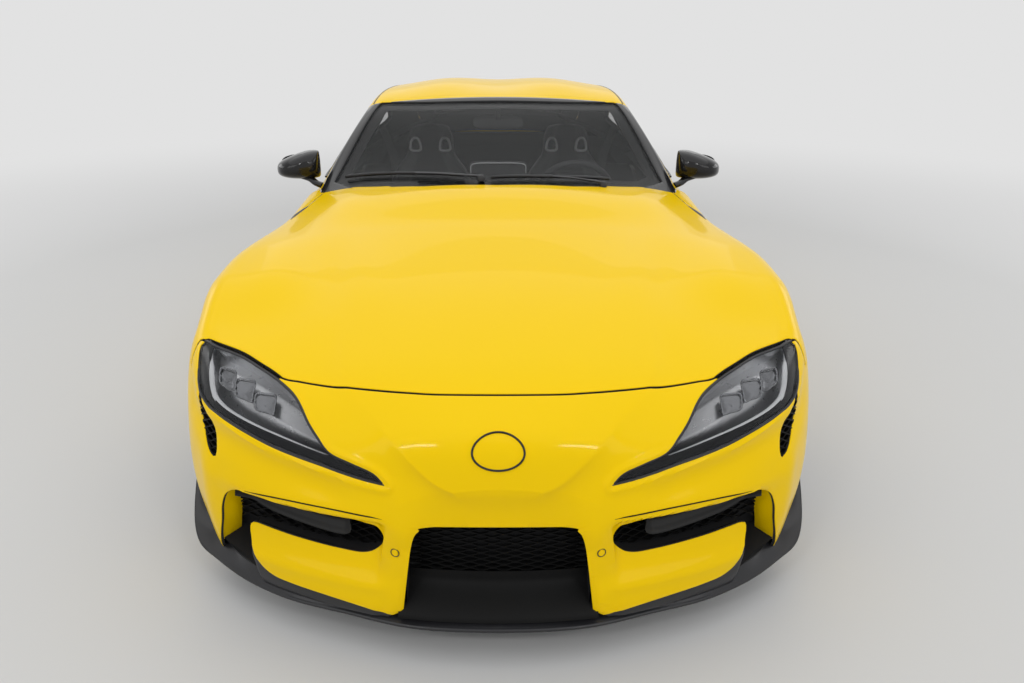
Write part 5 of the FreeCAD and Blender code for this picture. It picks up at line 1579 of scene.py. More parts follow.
# %%
def along_glass(points, height, steps=10):
    """A path over the windscreen through (x, station) points, height above the glass."""
    line = outline_points(points, steps, False)
    place = on_house(np.abs(line[:, 0]), line[:, 1], -height)
    place[:, 0] *= np.sign(line[:, 0] + 1e-9)
    return place


WIPERS = (
    ([(-70, 1615), (-180, 1638), (-340, 1682)], [(-140, 1640), (-340, 1694), (-655, 1796)]),
    ([(430, 1645), (330, 1640), (220, 1632)], [(460, 1694), (220, 1643), (-30, 1618)]),
)
PIVOT = [(-0.012, 0.0004), (-0.012, 0.016), (0.004, 0.016), (0.010, 0.012), (0.011, 0.0004)]
wiper_parts = []
for arm_line, blade_line in WIPERS:
    arm_size = np.linspace(0.009, 0.006, 21)
    wiper_parts.append(tube(along_glass(arm_line, 0.016), arm_size, 8, flat=0.6))
    wiper_parts.append(tube(along_glass(blade_line, 0.008), 0.0055, 8, flat=1.3))
    wiper_parts.append(moved(upright(lathe(PIVOT, 24)), along_glass(arm_line, 0.010)[0]))
build("wiper_set", [merged(*wiper_parts)], "root", ["wipers"], [SATIN])
DRIP = [(590, 2262), (570, 2430), (550, 2620), (535, 2800), (522, 2940)]
drip_path = outline_points(DRIP, 10, False)
drip = tube(on_house(drip_path[:, 0], drip_path[:, 1], -0.0004), 0.0035, 8, flat=0.6)
build("roof_drip_lines", [both_sides(drip)], "root", ["roof"], [SATIN])

# %%
def on_top(x, s, lift=0.0):
    """Points of the body's upper side at half width x and station s, by halving in height."""
    x, y = np.asarray(x, float), np.asarray(s, float) - MIDDLE
    z = halved(lambda level: out_of_hull(x, y, level) <= 0, 0.55, 1.10, x.shape)
    return np.stack([x, y, z + bonnet_push(x, y, z) + flank_push(x, y, z) + lift], -1)


vent_line = through([(0.826, 1.478), (0.820, 1.516), (0.806, 1.556), (0.784, 1.600)])
vent_size = 0.008 * np.sin(np.linspace(0.15, 2.9, len(vent_line))) + 0.001
vent = tube(on_top(vent_line[:, 0], vent_line[:, 1], 0.001), vent_size, 8, flat=0.35)
shut = through([(0.784, 1.600), (0.768, 1.660), (0.752, 1.740)])
shut = tube(on_top(shut[:, 0], shut[:, 1], 0.0004), 0.0016, 6, flat=0.5)
build("wing_top_vents", [both_sides(merged(vent, shut))], "root",
      ["front_wings"], [GLOSS])

# %%
def side_line(outline, inset, sign, steps=8, closed=True):
    """A line of (station, height) points on the cabin's side, by halving across the car."""
    line = outline_points(outline, steps, closed) - (MIDDLE, 0)
    y, z = line.T
    x = halved(lambda level: out_of_house(level, y, z) <= 0, 0.40, 0.95, y.shape)
    return np.stack([sign * (x - inset), y, z], -1)


BELT = [(1905, 932), (2100, 936), (2400, 940), (2780, 943)]
for side, sign in SIDES:
    seal, quarter = (tube(side_line(window, 0.002, sign), 0.0042, 8, True)
                     for window in (DOOR_WINDOW, QUARTER_WINDOW))
    belt = tube(side_line(BELT, -0.001, sign, 10, False), 0.009, 8, flat=0.5)
    build(f"window_seal_{side}", [merged(seal, belt)], f"door_{side}",
          [f"door_{side}"], [SATIN])
    build(f"quarter_seal_{side}", [quarter], "root", ["fixed_glass"], [SATIN])

# %% [markdown]
# ## Door handles and hinge pillars
# The handle is a bowed grip over a shallow cup near the door's rear edge. Ahead of the
# door a ribbed panel closes the pillar that carries the hinges.

# %%
def on_side(s, z, inset=0.0):
    """Points of the body's side at station s and height z, by halving across the car."""
    y, z = np.asarray(s, float) - MIDDLE, np.asarray(z, float)
    x = halved(lambda level: out_of_hull(level, y, z) <= 0, 0.3, 1.1, y.shape)
    push = flank_push(x, y, z) + nose_push(x, y, z)
    return np.stack([x + push - inset, y, z], -1)


t = np.linspace(0, 1, 30)
grip_path = on_side(2.600 + 0.170 * t, 0.790 + 0 * t)
grip_path[:, 0] += 0.020 * np.sin(np.pi * t) ** 0.6 - 0.006
grip = tube(grip_path, 0.010 + 0.003 * np.sin(np.pi * t), 12, flat=1.25)
turn = circle(40)
cup_rings = np.stack([
    on_side(2.685 + 0.075 * k * np.cos(turn), 0.788 + 0.024 * k * np.sin(turn), depth)
    for k, depth in ((1.0, -0.0008), (0.85, 0.0), (0.5, 0.0), (0.02, 0.0))
])
cup = sheet(cup_rings + (0.0012, 0, 0))
for side, sign in SIDES:
    for name, part, slot, finish in (("grip", grip, "body_paint", PAINT),
                                     ("cup", cup, "gloss_black", GLOSS)):
        build(f"door_{name}_{side}", [to_side(part, sign)], f"door_{side}",
              [f"door_{side}"], [finish])

# %%
PILLAR_X, PILLAR_S = 0.56, 1.560
pillar_z = np.linspace(0.27, 0.80, 24)
outer_x = on_side(PILLAR_S + 0 * pillar_z, pillar_z, 0.030)[:, 0]
share = np.linspace(0, 1, 10)[:, None]
pillar_x = PILLAR_X + (outer_x - PILLAR_X) * share
ribs = 0.006 * np.sin(np.pi * 6 * share) ** 2
pillar = np.stack([pillar_x, PILLAR_S - MIDDLE + ribs + 0 * pillar_x, pillar_z + 0 * pillar_x],
                  -1)
pillar_part = shell(skin_between(pillar, pillar - (0, 0.003, 0)), 0.001)
build("hinge_pillar_panels", [pillar_part], "root", [], [SHEET, SHEET])

# %% [markdown]
# ## Tyres and wheel hardware
# A tyre is its section turned about the axle. The radius drops in four grooves round
# the tread and in slanted cuts over the shoulders, and a radius attribute lets the
# rubber draw fine rings on the wall. The rims keep their CAD mesh.

# %%
BEAD = [(0.030, 0.2415), (0.022, 0.244), (0.014, 0.252)]
SHOULDER = [(0.004, 0.064), (0.0005, 0.044), (0.004, 0.024), (0.013, 0.0105),
            (0.026, 0.004), (0.045, 0.0012)]
GROOVES = (-0.066, -0.024, 0.024, 0.066)
BLOCKS = 72  # round the tread


def tyre_section(width, radius):
    """(across, radius) from bead to bead: BEAD holds places inward from the side with
    their radius, SHOULDER the same with the drop below the tread."""
    right = [(width / 2 - inward, at) for inward, at in BEAD]
    right += [(width / 2 - inward, radius - drop) for inward, drop in SHOULDER]
    right.append((0.03, radius - 0.0003))
    return through(right + [(-x, r) for x, r in reversed(right)], False, 3)


def tyre(name, body, node, centre, width, radius):
    section = tyre_section(width, radius)
    sides_of_grooves = [g + d for g in GROOVES for d in (-0.0055, -0.0045, 0.0045, 0.0055)]
    even = np.linspace(-width / 2 + 0.030, width / 2 - 0.030, 25)
    tread = np.sort(np.concatenate([even, sides_of_grooves]))[::-1]
    place, high = section.T
    order = np.argsort(-place)
    flat = (high > radius - 0.006) & (np.abs(place) < width / 2 - 0.029)
    first, last = np.flatnonzero(flat)[[0, -1]]
    across = np.concatenate([place[:first], tread, place[last + 1 :]])
    level = np.concatenate([high[:first], np.interp(-tread, -place[order], high[order]),
                            high[last + 1 :]])
    x, angle = np.meshgrid(across, circle(288), indexing="ij")
    r = np.broadcast_to(level[:, None], x.shape).copy()
    # Grooves round the tread, slanted cuts over the shoulders, then fine cuts between.
    on_tread = level[:, None] > radius - 0.010
    groove = np.min([np.abs(x - g) for g in GROOVES], axis=0) < 0.005
    r -= 0.0062 * (groove & on_tread)
    turned = angle * BLOCKS / (2 * np.pi)
    slant = (turned + np.abs(x) * 9.0) % 1.0
    shoulder = (np.abs(x) > width / 2 - 0.052) & on_tread
    r -= 0.0050 * ((slant < 0.16) & shoulder)
    block = (turned + np.abs(x) * 14.0 + 0.5) % 1.0
    r -= 0.0035 * ((block < 0.10) & on_tread & ~groove & ~shoulder & (np.abs(x) > 0.030))
    points = np.stack([x, r * np.cos(angle), r * np.sin(angle)], -1).reshape(-1, 3)
    part = points + centre, split_quads(grid_faces(*x.shape, True, True))
    made = build(name, [part], body, [node], [RUBBER])
    reach = np.hypot(points[:, 1], points[:, 2])
    field = made.data.attributes.new("radius", "FLOAT", "POINT")
    field.data.foreach_set("value", reach[: len(made.data.vertices)])


WHEELS = [(f"{end}_{side}", sign * x, axle, radius, width)
          for end, x, axle, radius, width in (
              ("front", 0.785, FRONT_AXLE, FRONT_RADIUS, 0.255),
              ("rear", 0.780, REAR_AXLE, REAR_RADIUS, 0.275))
          for side, sign in SIDES]
for corner, x, y, radius, width in WHEELS:
    tyre(f"tyre_tread_{corner}", f"wheel_{corner}", f"tyre_{corner}", (x, y, radius), width,
         radius)

# %%
NUT = [(0, 0.0113), (0.014, 0.0113), (0.019, 0.0080), (0.021, 0.0002)]
CAP = [(0, 0.034), (0.010, 0.034), (0.0125, 0.032), (0.0125, 0.029), (0.0110, 0.028),
       (0.0145, 0.020), (0.0160, 0.010), (0.0165, 0.0003)]
NUT_CIRCLE, FLANGE = 0.057, 0.2462


def round_axle(x, y, z, radius, turn):
    return np.stack([0 * turn + x, y + radius * np.cos(turn), z + radius * np.sin(turn)], -1)


for corner, x, y, radius, width in WHEELS:
    sign, body = (1 if x > 0 else -1), f"wheel_{corner}"
    flange = width / 2 - 0.0125
    face, edge = x + sign * (flange - 0.034), x + sign * (flange - 0.003)
    places = round_axle(face + sign * 0.001, y, radius, NUT_CIRCLE, circle(5) + 0.3)
    nuts = [moved(to_side(lathe(NUT, 6), sign), place) for place in places]
    build(f"wheel_nuts_{corner}", nuts, body, [], [STEEL], 30)
    cap = moved(to_side(lathe(CAP, 64), sign), (face, y, radius))
    build(f"wheel_cap_{corner}", [cap], body, [], [WHEEL])
    ring = round_axle(edge, y, radius, FLANGE, circle(120))
    build(f"rim_edge_{corner}", [tube(ring, 0.0042, 8, True, up=(1, 0, 0))], body,
          [], [WHEEL])

# %% [markdown]
# ## Tail lamps, diffuser and pipes
# The lamps are cut from the tail's own skin, so they stay flush. Between the corners of
# the bumper a recessed panel carries upright fins, and two pipes end in it.

# %%
def on_tail(x, z, inset=0.0):
    """Points of the tail at half width x and height z, found by halving along the car."""
    x, z = np.asarray(x, float), np.asarray(z, float)
    y = halved(lambda level: out_of_hull(x, level, z) <= 0, 1.60, 2.40, x.shape, 34)
    return np.stack([x, y + tail_push(x, y, z) - inset, z], -1)


lens = region(skin(hull, 0.012, 0.002), in_tail_lamp(-0.0015))
bed = region(skin(hull, 0.0135, 0.0122), in_tail_lamp(0.004))
build("tail_lamp_lenses", [shell(lens, 0.001)], "root", ["tail_lamps"], [RED, RED])
build("tail_lamp_beds", [shell(bed, 0.0003)], "root", ["tail_lamps"],
      [FRIT, FRIT])
bar_line = outline_points([(425, 803), (600, 836), (740, 850), (800, 848)], 10, False)
bar = tube(on_tail(bar_line[:, 0], bar_line[:, 1], -0.0005), 0.0028, 8, flat=0.7)
build("tail_lamp_strips", [both_sides(bar)], "root", ["tail_lamps"], [RED])

# %%
panel = region(skin(hull, 0.034, 0.022), in_diffuser(-0.001))
z = np.linspace(0.152, 0.300, 12)
tip = (0, 0.026, 0) * np.sin(np.linspace(0.25, 1, 12) * np.pi)[:, None]
half_fin = (0.0025, 0, 0)
fins = []
for place in (0.17, 0.25, 0.33, 0.40):
    ridge = on_tail(0 * z + place, z, 0.022)
    grid = np.stack([ridge - (0, 0.02, 0), ridge, ridge + tip])
    fins.append(shell(skin_between(grid - half_fin, grid + half_fin), 0.0008)[:2])
build("diffuser_panel", [shell(panel)], "root", ["diffuser"], [GRAIN, SHEET])
build("diffuser_fins", fins + [mirror_x(fin) for fin in fins], "root",
      ["diffuser"], [SATIN])
REVEAL = np.array([(0.300, 0.400), (0.430, 0.300), (0.452, 0.20), (0.464, 0.14)])
reveal = through(np.concatenate([REVEAL[::-1] * (-1, 1), REVEAL]), False, 8)
trim_path = on_tail(np.abs(reveal[:, 0]), reveal[:, 1], 0.012)
trim_path[:, 0] *= np.sign(reveal[:, 0] + 1e-9)
build("diffuser_reveal", [tube(trim_path, 0.007, 8)], "root", ["diffuser"],
      [SATIN])

# %%
def along_y(part):
    """A lathe about X turned to run along Y."""
    return part[0][:, [1, 0, 2]], part[1][:, ::-1]


PIPE = [(1.905, 0.0485), (1.905, 0.052), (2.168, 0.052), (2.176, 0.0515), (2.180, 0.0495),
        (2.178, 0.047), (2.168, 0.0455), (2.04, 0.0450), (2.035, 0.0002)]
COLLAR = [(2.118, 0.0535), (2.118, 0.064), (2.124, 0.066), (2.130, 0.064), (2.130, 0.0535)]
for name, profile, slot, node, finish in (
    ("tail_pipes", PIPE, "tailpipe_chrome", "exhaust_tips", CHROME),
    ("pipe_collars", COLLAR, "satin_black", "diffuser", SATIN),
):
    turned = along_y(lathe(profile, 64))
    pair = [moved(turned, (x, 0, 0.262)) for x in (-0.082, 0.082)]
    build(name, pair, "root", [node], [finish], 40)

# %% [markdown]
# ## Seats
# Each seat is two padded forms: a cushion and a back that narrows into its headrest. A
# form is a stack of closed rings. The front of a ring is hollow between raised bolsters,
# and sewn channels and seams are grooves pushed along the normal.

# %%
SEAT_X, FLOOR_TOP = 0.370, 0.157


def soft_ring(half, front, back, bolster):
    """Ring of (across, out) pairs: flat oval, with bolsters raised towards the front."""
    u, v = power(np.cos(circle(72)), 0.55), power(np.sin(circle(72)), 0.55)
    raised = step(np.abs(u), 0.50, 0.88) * (1 - 0.55 * step(np.abs(u), 0.93, 1.0))
    middle, thick = (front + back) / 2, (front - back) / 2
    return u * half, middle + thick * v + bolster * raised * np.clip(v, 0, 1), u, v


def bulged_end(ring, neighbour):
    """Five ever smaller rings that close an end with a bulge of 22 mm."""
    centre = ring.mean(0)
    push = centre - neighbour.mean(0)
    push *= 0.022 / np.linalg.norm(push)
    return np.stack([centre + (ring - centre) * k + push * np.sqrt(1 - k * k)
                     for k in (0.94, 0.8, 0.55, 0.25, 0.02)])


def seat_part(sections, channel_from, channel_to, channels, steps=90):
    """Rings along a leaning line, from sections of station, height, lean in degrees, half
    width, front, back and bolster; the middle of the front is sewn into channels."""
    table = np.array(sections, float) - (MIDDLE, 0, 0, 0, 0, 0, 0)
    place = np.cumsum([0, *np.linalg.norm(np.diff(table[:, :2], axis=0), axis=1)])
    rows = spline(place, table, np.linspace(0, place[-1], steps))
    rings, groups = [], []
    for t, (y, z, lean, half, front, back, bolster) in zip(np.arange(steps) / (steps - 1), rows):
        across, out, u, v = soft_ring(half, front, back, bolster)
        face = np.clip(v, 0, 1)
        seam = bell(np.abs(u) - 0.54, 0.018) * 0.0045
        inner = (np.abs(u) < 0.54) * step(t, channel_from, channel_from + 0.01)
        inner = inner * (1 - step(t, channel_to, channel_to + 0.01))
        phase = (t - channel_from) / (channel_to - channel_from) * channels
        rib = np.abs(np.sin(np.pi * phase)) ** 0.5 * 0.006 - 0.003
        out = out - face * seam + face * inner * rib
        across = across * (1 - 0.06 * (bell(t, 0.03) + bell(t - 1.0, 0.03)))
        a = np.radians(lean)
        rings.append(np.stack([across, y - out * np.cos(a), z + out * np.sin(a)], -1))
        groups.append((np.abs(u) < 0.52) & (v > 0.2))
    grid = np.stack(rings)
    grid = np.concatenate([bulged_end(grid[0], grid[3])[::-1], grid,
                           bulged_end(grid[-1], grid[-4])])
    flags = np.stack([groups[0]] * 5 + groups + [groups[-1]] * 5)
    insert = flags.ravel()[grid_faces(*grid.shape[:2], False, True)].sum(1) >= 3
    return *sheet(grid), np.concatenate([insert, insert]).astype(int)


CUSHION = [
    (2.185, 0.262, 84, 0.228, 0.075, -0.080, 0.006),
    (2.215, 0.276, 88, 0.240, 0.096, -0.090, 0.014),
    (2.330, 0.272, 92, 0.246, 0.082, -0.095, 0.040),
    (2.480, 0.262, 94, 0.246, 0.070, -0.090, 0.052),
    (2.590, 0.256, 95, 0.236, 0.062, -0.080, 0.050),
    (2.640, 0.252, 95, 0.225, 0.058, -0.075, 0.040),
]
BACK = [
    (2.610, 0.360, 20, 0.220, 0.046, -0.050, 0.040),
    (2.640, 0.450, 20, 0.228, 0.052, -0.060, 0.062),
    (2.690, 0.600, 18, 0.230, 0.052, -0.062, 0.064),
    (2.730, 0.740, 16, 0.222, 0.052, -0.052, 0.050),
    (2.752, 0.830, 14, 0.180, 0.052, -0.046, 0.026),
    (2.768, 0.890, 12, 0.134, 0.050, -0.040, 0.010),
    (2.782, 0.960, 8, 0.122, 0.048, -0.036, 0.006),
    (2.788, 1.028, 4, 0.108, 0.034, -0.030, 0.0),
]
cushion, back = seat_part(CUSHION, 0.12, 0.98, 6), seat_part(BACK, 0.06, 0.62, 9)
for side, x in (("driver", SEAT_X), ("passenger", -SEAT_X)):
    for name, part, fill in (("cushion", cushion, 0.9), ("back", back, 0.85)):
        made = build(f"{side}_seat_{name}", [moved(part, (x, 0, 0))], "root",
                     ["seats"], [HIDE, SUEDE], 0)

# %%
turn = circle(48)
across = 0.026 * power(np.cos(turn), 0.6) * (1 - 0.4 * np.sin(turn))
ring_y = 2.7300 - MIDDLE - 0.004 + 0.034 * np.sin(turn) * 0.10
ring_z = 0.950 + 0.034 * power(np.sin(turn), 0.7)
openings = [np.stack([x + offset + across, ring_y, ring_z], -1)
            for x in (SEAT_X, -SEAT_X) for offset in (-0.080, 0.080)]
rims = [tube(ring, 0.0062, 8, True, up=(0, 1, 0)) for ring in openings]
# The openings are not cut through the seat: black discs in them are painted shade for the dark
# inside of each hole.
painted_shade_discs = [filled(ring, (1.0, 0.5, 0.02), 0.001) for ring in openings]
build("headrest_rims", rims, "root", [], [MATT_SILVER])
build("headrest_opening_shade", painted_shade_discs, "root", [], [FRIT])

# %% [markdown]
# ## Dashboard, wheel and console
# The dashboard is one section carried from door to door. A hood rises over the driver's
# instruments, and the middle stands a little forward for the centre console.

# %%
DASH = [(1878, 700), (1872, 800), (1884, 880), (1925, 902), (1985, 893), (2030, 862),
        (2058, 812), (2060, 766), (2040, 724), (2000, 690), (1955, 655), (1905, 650)]
s, z = (column[None, :] for column in outline_points(DASH, 8).T)
x = np.concatenate([np.linspace(-0.690, -0.684, 3), np.linspace(-0.66, 0.66, 100),
                    np.linspace(0.684, 0.690, 3)])[:, None]
hood, centre = bell(x - 0.37, 0.15), bell(x, 0.16)
rise = hood * 0.034 * step(z, 0.80, 0.90) * step(s, 1.93, 2.03)
out = centre * 0.022 * step(s, 1.98, 2.05) * (1 - step(z, 0.78, 0.90))
out = out + hood * 0.020 * step(s, 1.98, 2.05)
squeeze = np.where(np.abs(x) > 0.683, 1 - (np.abs(x) - 0.683) * 20, 1.0)
dash = np.stack(np.broadcast_arrays(x, 1.965 + (s + out - 1.965) * squeeze - MIDDLE,
                                    0.78 + (z + rise - 0.78) * squeeze), -1)
# station, height and half width in millimetres
CONSOLE = np.array([(1905, 640, 96), (1990, 650, 100), (2060, 600, 104), (2150, 480, 106),
                    (2260, 440, 110), (2450, 425, 112), (2620, 425, 110),
                    (2780, 400, 104)], float) / 1000
CONSOLE_FOOT = 0.16
rows = spline(np.linspace(0, 1, len(CONSOLE)), CONSOLE, np.linspace(0, 1, 60))
s, height, half = (rows[:, k : k + 1] for k in range(3))
cx, cz = power(np.cos(circle(48)), 0.4), power(np.sin(circle(48)), 0.4)
half_height = (height - CONSOLE_FOOT) / 2
console = np.stack(np.broadcast_arrays(half * cx, s - MIDDLE + 0 * cx,
                                       CONSOLE_FOOT + half_height + half_height * cz), -1)
build("dash_pad", [sheet(closed_ends(dash))], "root", ["dashboard"], [INNER])
build("centre_console", [sheet(closed_ends(console))], "root",
      ["dashboard"], [INNER])

# %%
def rounded_frame(x, s, z, width, height, size, lean, corner=0.35):
    """Ring of a rounded rectangle that leans about X, and a tube along it."""
    turn, a = circle(56), np.radians(lean)
    up = height / 2 * power(np.sin(turn), corner)
    across = width / 2 * power(np.cos(turn), corner)
    ring = np.stack([across, np.sin(a) * up, np.cos(a) * up], -1) + (x, s - MIDDLE, z)
    return ring, tube(ring, size, 8, True, up=(0, 1, 0))


frames, screens, vents = [], [], []
for place in ((0.0, 2.086, 0.818, 0.200, 0.105, 0.0035, -18),
              (0.37, 2.084, 0.846, 0.250, 0.090, 0.0035, -15)):
    ring, edge = rounded_frame(*place)
    frames.append(edge)
    screens.append(filled(ring, (1.0, 0.6, 0.02)))
for x in (-0.60, -0.13, 0.13, 0.62):
    frames.append(rounded_frame(x, 2.072, 0.772, 0.095, 0.050, 0.003, -8, 0.6)[1])
    for drop in (-0.0135, 0.0, 0.0135):
        slat = [(x + half, 2.068 - MIDDLE, 0.772 + drop) for half in (-0.040, 0.040)]
        vents.append(tube(slat, 0.0022, 6))
build("instrument_screens", screens, "root", [], [FRIT])
build("instrument_frames", frames, "root", [], [SATIN])
build("air_vent_slats", vents, "root", [], [SATIN])
slot_line = line_at([(0.10, 1.905, 0.9007), (0.30, 1.915, 0.9007), (0.48, 1.935, 0.9007),
                     (0.60, 1.960, 0.9007)], 8)
slots = [tube(slot_line * (sign, 1, 1), 0.006, 8, flat=0.35) for sign in (-1, 1)]
build("demister_slots", slots, "root", [], [GRAIN])

# %%
WHEEL_AT, WHEEL_TILT = np.array([0.370, 2.210 - MIDDLE, 0.790]), np.radians(24.0)


def on_column(points):
    """Column frame (across, up the rim, towards the driver) to the car's frame."""
    u, v, w = np.asarray(points, float).T
    up_y, up_z = -np.sin(WHEEL_TILT), np.cos(WHEEL_TILT)
    return np.stack([u, v * up_y + w * up_z, v * up_z - w * up_y], -1) + WHEEL_AT


turn = circle(120)
rim_size = 0.0155 + 0.0015 * bell((turn % np.pi) - 0.55, 0.25)
rim_path = on_column(np.stack([0.178 * np.cos(turn), 0.176 * np.sin(turn), 0 * turn], -1))
hand_rim = tube(rim_path, rim_size, 16, True, up=(0, 0.4, 0.9))
t = np.linspace(0, 1, 12)
r = 0.045 + 0.125 * t
spokes, accents = [], []
for angle in (0.12, np.pi - 0.12, -np.pi / 2):
    u, v = r * np.cos(angle), r * np.sin(angle)
    spoke = on_column(np.stack([u, v, -0.012 + 0.010 * t**2], -1))
    spokes.append(tube(spoke, np.linspace(0.020, 0.013, 12), 12, flat=0.45))
    accent = on_column(np.stack([u, v, -0.0015 + 0.009 * t**2], -1)[3:])
    accents.append(tube(accent, 0.0055, 8, flat=0.5))
hub_points, hub_faces = upright(lathe([
    (-0.200, 0.030), (-0.060, 0.034), (-0.030, 0.052), (-0.008, 0.060), (0.006, 0.056),
    (0.012, 0.040), (0.015, 0.020), (0.016, 0.0005)], 48))
build("steering_rim", [hand_rim], "root", ["steering_wheel"], [HIDE])
build("steering_spokes", [*spokes, (on_column(hub_points), hub_faces)], "root",
      ["steering_wheel"], [INNER])
build("spoke_accents", accents, "root", ["steering_wheel"], [MATT_SILVER])
STALK = np.array([(0.03, 0.02, -0.06), (0.10, 0.03, -0.055), (0.135, 0.035, -0.05)])
stalks = [tube(on_column(STALK * (sign, 1, 1)), (0.006, 0.006, 0.009), 8) for sign in (-1, 1)]
build("column_stalks", stalks, "root", [], [SATIN])

# %% [markdown]
# ## Inner trim
# The rear-view mirror hangs under the header, with the lamp console behind it. A gear
# lever, an arm rest and a display fill the middle of the cabin, and belts hang at the
# pillars.

# %%
def pillow(x, s, z, size, corner=0.5, lean=0.0):
    """Superellipsoid: a rounded block whose corners follow a power curve."""
    up, turn = np.meshgrid(np.linspace(-np.pi / 2 + 0.02, np.pi / 2 - 0.02, 14), circle(40),
                           indexing="ij")
    u = power(np.cos(up), corner) * power(np.cos(turn), corner) * size[0] / 2
    v = power(np.cos(up), corner) * power(np.sin(turn), corner) * size[1] / 2
    w = power(np.sin(up), corner) * size[2] / 2
    c, d = np.cos(np.radians(lean)), np.sin(np.radians(lean))
    points = np.stack([u, v * c - w * d, v * d + w * c], -1) + (x, s - MIDDLE, z)
    return points.reshape(-1, 3), split_quads(grid_faces(*u.shape, False, True)[:, ::-1])


display = merged(pillow(0, 1.992, 0.942, (0.262, 0.022, 0.088), 0.3, -14),
                 pillow(0, 1.985, 0.905, (0.150, 0.050, 0.030)))
display_edge = rounded_frame(0, 1.9805, 0.943, 0.250, 0.078, 0.0022, -14)[1]
stem_path = np.array([(0, 2.266, 1.135), (0, 2.255, 1.180), (0, 2.262, 1.206)])
mirror = merged(pillow(0, 2.272, 1.118, (0.245, 0.034, 0.068), 0.55, -12),
                tube(stem_path - (0, MIDDLE, 0), 0.012, 10))
roof_console = pillow(0, 2.345, 1.214, (0.24, 0.17, 0.034), lean=6)
visors = [pillow(x, 2.345, 1.196, (0.36, 0.15, 0.020), 0.45, 10) for x in (-0.31, 0.31)]
mats = [pillow(x, 1.985, FLOOR_TOP + 0.008, (0.36, 0.44, 0.012), 0.25)
        for x in (-SEAT_X, SEAT_X)]
LEVER_S = 2.30
lever_path = np.array([(0, LEVER_S, 0.43), (0, 2.305, 0.50), (0, LEVER_S, 0.535)])
boot, boot_faces = upright(lathe([(0.435, 0.055), (0.445, 0.048), (0.458, 0.030),
                                  (0.475, 0.018), (0.490, 0.013)], 32))
boot = boot * (1, 1.2, 1) + (0, LEVER_S - MIDDLE, 0)
lever = [tube(lever_path - (0, MIDDLE, 0), (0.012, 0.010, 0.010), 12),
         pillow(0, 2.298, 0.552, (0.046, 0.056, 0.050), 0.8), (boot, boot_faces)]
for name, parts, slot, finish in (
    ("centre_display", [display], "satin_black", SATIN),
    ("display_edge", [display_edge], "cast_alloy", MATT_SILVER),
    ("inner_mirror", [mirror], "satin_black", SATIN),
    ("roof_lamp_console", [roof_console], "interior_trim", INNER),
    ("sun_visors", visors, "interior_trim", VISOR),
    ("floor_mats", mats, "interior_trim", CARPET),
    ("gear_lever", lever, "seat_leather", HIDE),
):
    build(name, parts, "root", [], [finish])
arm_rest = pillow(0, 2.60, 0.432, (0.19, 0.30, 0.062), 0.35)
build("console_arm_rest", [arm_rest], "root", [], [HIDE])

# %%
SEAT_BELT = [(0.655, 2.905, 1.02), (0.600, 2.800, 0.93), (0.575, 2.77, 0.82),
             (0.610, 2.78, 0.62), (0.622, 2.80, 0.40)]
DOOR_REST = [(0.735, 1.98, 0.700), (0.712, 2.06, 0.705), (0.705, 2.22, 0.690),
             (0.718, 2.38, 0.655), (0.738, 2.44, 0.640)]
for side, sign in SIDES:
    mirrored = (sign, 1, 1)
    door, strap_up = f"door_{side}", (0.2 * sign, 1, 0.1)
    belt = tube(line_at(SEAT_BELT, 10) * mirrored, 0.022, 8, flat=0.06, up=strap_up)
    build(f"seat_belt_{side}", [belt], "root", [], [SUEDE])
    rest = tube(line_at(DOOR_REST, 8) * mirrored, 0.026, 14, flat=0.8)
    build(f"door_arm_rest_{side}", [rest], door, [], [HIDE])
    speaker = round_axle(sign * 0.765, 1.86 - MIDDLE, 0.47, 0.075, circle(40))
    ring = tube(speaker, 0.005, 8, True, up=(1, 0, 0))
    build(f"speaker_ring_{side}", [ring], door, [], [SATIN])

# %% [markdown]
# ## Finishes on the CAD pieces that stay
# Running gear, engine and floor keep their CAD form. Each takes one of the procedural
# finishes above.

# %%
KEPT = {"underbody": SHEET, "front_carrier": SHEET, "engine_block": ALLOY,
        "front_subframe": STEEL, "rear_subframe": STEEL}
for side, _ in SIDES:
    KEPT[f"knuckle_{side}"] = STEEL
    KEPT[f"front_caliper_{side}"] = KEPT[f"rear_caliper_{side}"] = CALIPER
for corner, *_ in WHEELS:
    KEPT[f"rim_{corner}"], KEPT[f"brake_disc_{corner}"] = WHEEL, DISC
for name, finish in KEPT.items():
    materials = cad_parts[name].data.materials
    for number in range(len(materials)):
        materials[number] = finish
print("CAD pieces kept", len(KEPT))

# %% [markdown]
# ## Floor, light and camera
# The camera stands about one and a half metres ahead of the nose at eye height and looks
# down. The lamps are large and soft, and the floor is plain and pale.

# %%
def area_light(name, place, aim, size, watts):
    lamp = bpy.data.lights.new(name, "AREA")
    lamp.shape, lamp.size, lamp.size_y, lamp.energy = "RECTANGLE", *size, watts
    made = bpy.data.objects.new(name, lamp)
    made.location = place
    made.rotation_euler = (Vector(aim) - Vector(place)).to_track_quat("-Z", "Y").to_euler()
    bpy.context.scene.collection.objects.link(made)


area_light("ceiling", (0, -0.4, 5.2), (0, -0.3, 0), (9.0, 10.0), 172)
for name, place, aim, size, watts in (
    ("front_{}", (4.2, -6.0, 3.0), (0.3, -1.6, 0.4), (3.0, 2.4), 32),
    ("{}_spot", (1.7, -5.0, 3.4), (0.5, -2.0, 0.6), (0.55, 0.40), 16),
    ("{}_soft", (5.5, 0.8, 2.4), (0, 0, 0.5), (5.0, 1.6), 40),
):
    for side, sign in SIDES:
        mirrored = [(sign * point[0], *point[1:]) for point in (place, aim)]
        area_light(name.format(side), *mirrored, size, watts)
area_light("rear_soft", (0, 7.5, 4.8), (0, 1, 0.6), (9.0, 3.0), 40)

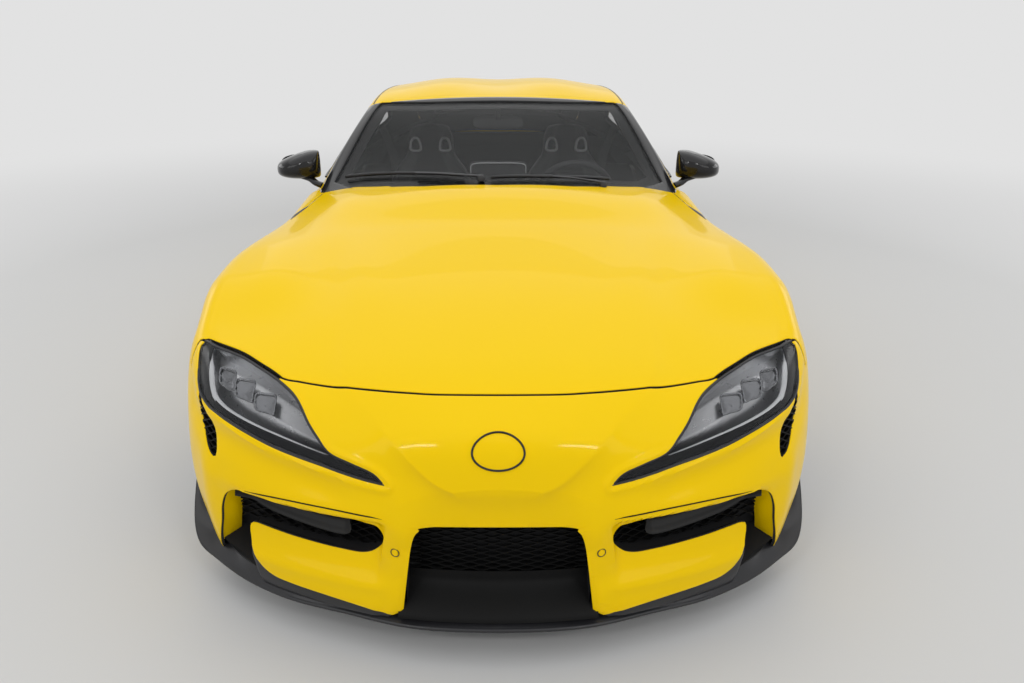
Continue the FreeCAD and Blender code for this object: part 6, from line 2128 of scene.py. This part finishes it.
floor_mesh = mesh_from("studio_floor", [(-40, -40, 0), (40, -40, 0), (40, 40, 0), (-40, 40, 0)],
                       [(0, 1, 2, 3)], False)
floor = bpy.data.objects.new("studio_floor", floor_mesh)
bpy.context.scene.collection.objects.link(floor)
floor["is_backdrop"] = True
BACKDROP = (0.76, 0.76, 0.76)
pale = Finish("pale floor", Roughness=0.75)
pale.set(Base_Color=pale.mix(pale.noise(0.8, 2.0) * 0.3, (0.66, 0.66, 0.655), (0.62, 0.62, 0.62)))
x, y, _ = pale.axes()
far = ((((x * x + y * y) ** 0.5) - 3.4) / 5.0).limit()
seen = [pale.node("LightPath", output=number) for number in (0, 3, 6)]
clear = (seen[0] + seen[1] + seen[2]).limit()
glow = pale.tree.nodes.new("ShaderNodeEmission")
glow.inputs[0].default_value, glow.inputs[1].default_value = (*BACKDROP, 1.0), 1.0
blended = pale.tree.nodes.new("ShaderNodeMixShader")
pale.tree.links.new((far * (2.0 - far) * clear).socket, blended.inputs[0])
pale.tree.links.new(pale.shader.outputs[0], blended.inputs[1])
pale.tree.links.new(glow.outputs[0], blended.inputs[2])
pale.tree.links.new(blended.outputs[0], pale.end.inputs[0])
floor_mesh.materials.append(pale.material)

world = bpy.data.worlds.new("studio")
bpy.context.scene.world = world
world.use_nodes = True
tree = world.node_tree
path, light, wall = (tree.nodes.new("ShaderNode" + kind)
                     for kind in ("LightPath", "Background", "Background"))
light.inputs[0].default_value, light.inputs[1].default_value = (0.93, 0.94, 0.95, 1), 0.46
wall.inputs[0].default_value, wall.inputs[1].default_value = (*BACKDROP, 1), 1.0
seen_by = path.outputs["Is Camera Ray"]
for other in ("Is Glossy Ray", "Is Transmission Ray"):
    either = tree.nodes.new("ShaderNodeMath")
    either.operation = "MAXIMUM"
    tree.links.new(seen_by, either.inputs[0])
    tree.links.new(path.outputs[other], either.inputs[1])
    seen_by = either.outputs[0]
choice = tree.nodes.new("ShaderNodeMixShader")
for source, place in ((seen_by, 0), (light.outputs[0], 1), (wall.outputs[0], 2)):
    tree.links.new(source, choice.inputs[place])
tree.links.new(choice.outputs[0], tree.nodes["World Output"].inputs[0])

CAMERA_AT, LOOKING_DOWN = (0, -3.706, 1.583), 0.404
camera = bpy.data.cameras.new("photo_view")
camera.sensor_width, camera.lens, camera.shift_x = 36.0, 26.62, 0.0134
viewpoint = bpy.data.objects.new("photo_view", camera)
viewpoint.location = CAMERA_AT
viewpoint.rotation_euler = (np.pi / 2 - LOOKING_DOWN, 0, 0)
bpy.context.scene.collection.objects.link(viewpoint)
bpy.context.scene.camera = viewpoint
bpy.context.scene.view_settings.view_transform = "Standard"

# %%
low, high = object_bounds()
print("scene box", [round(v, 3) for v in (*low, *high)])
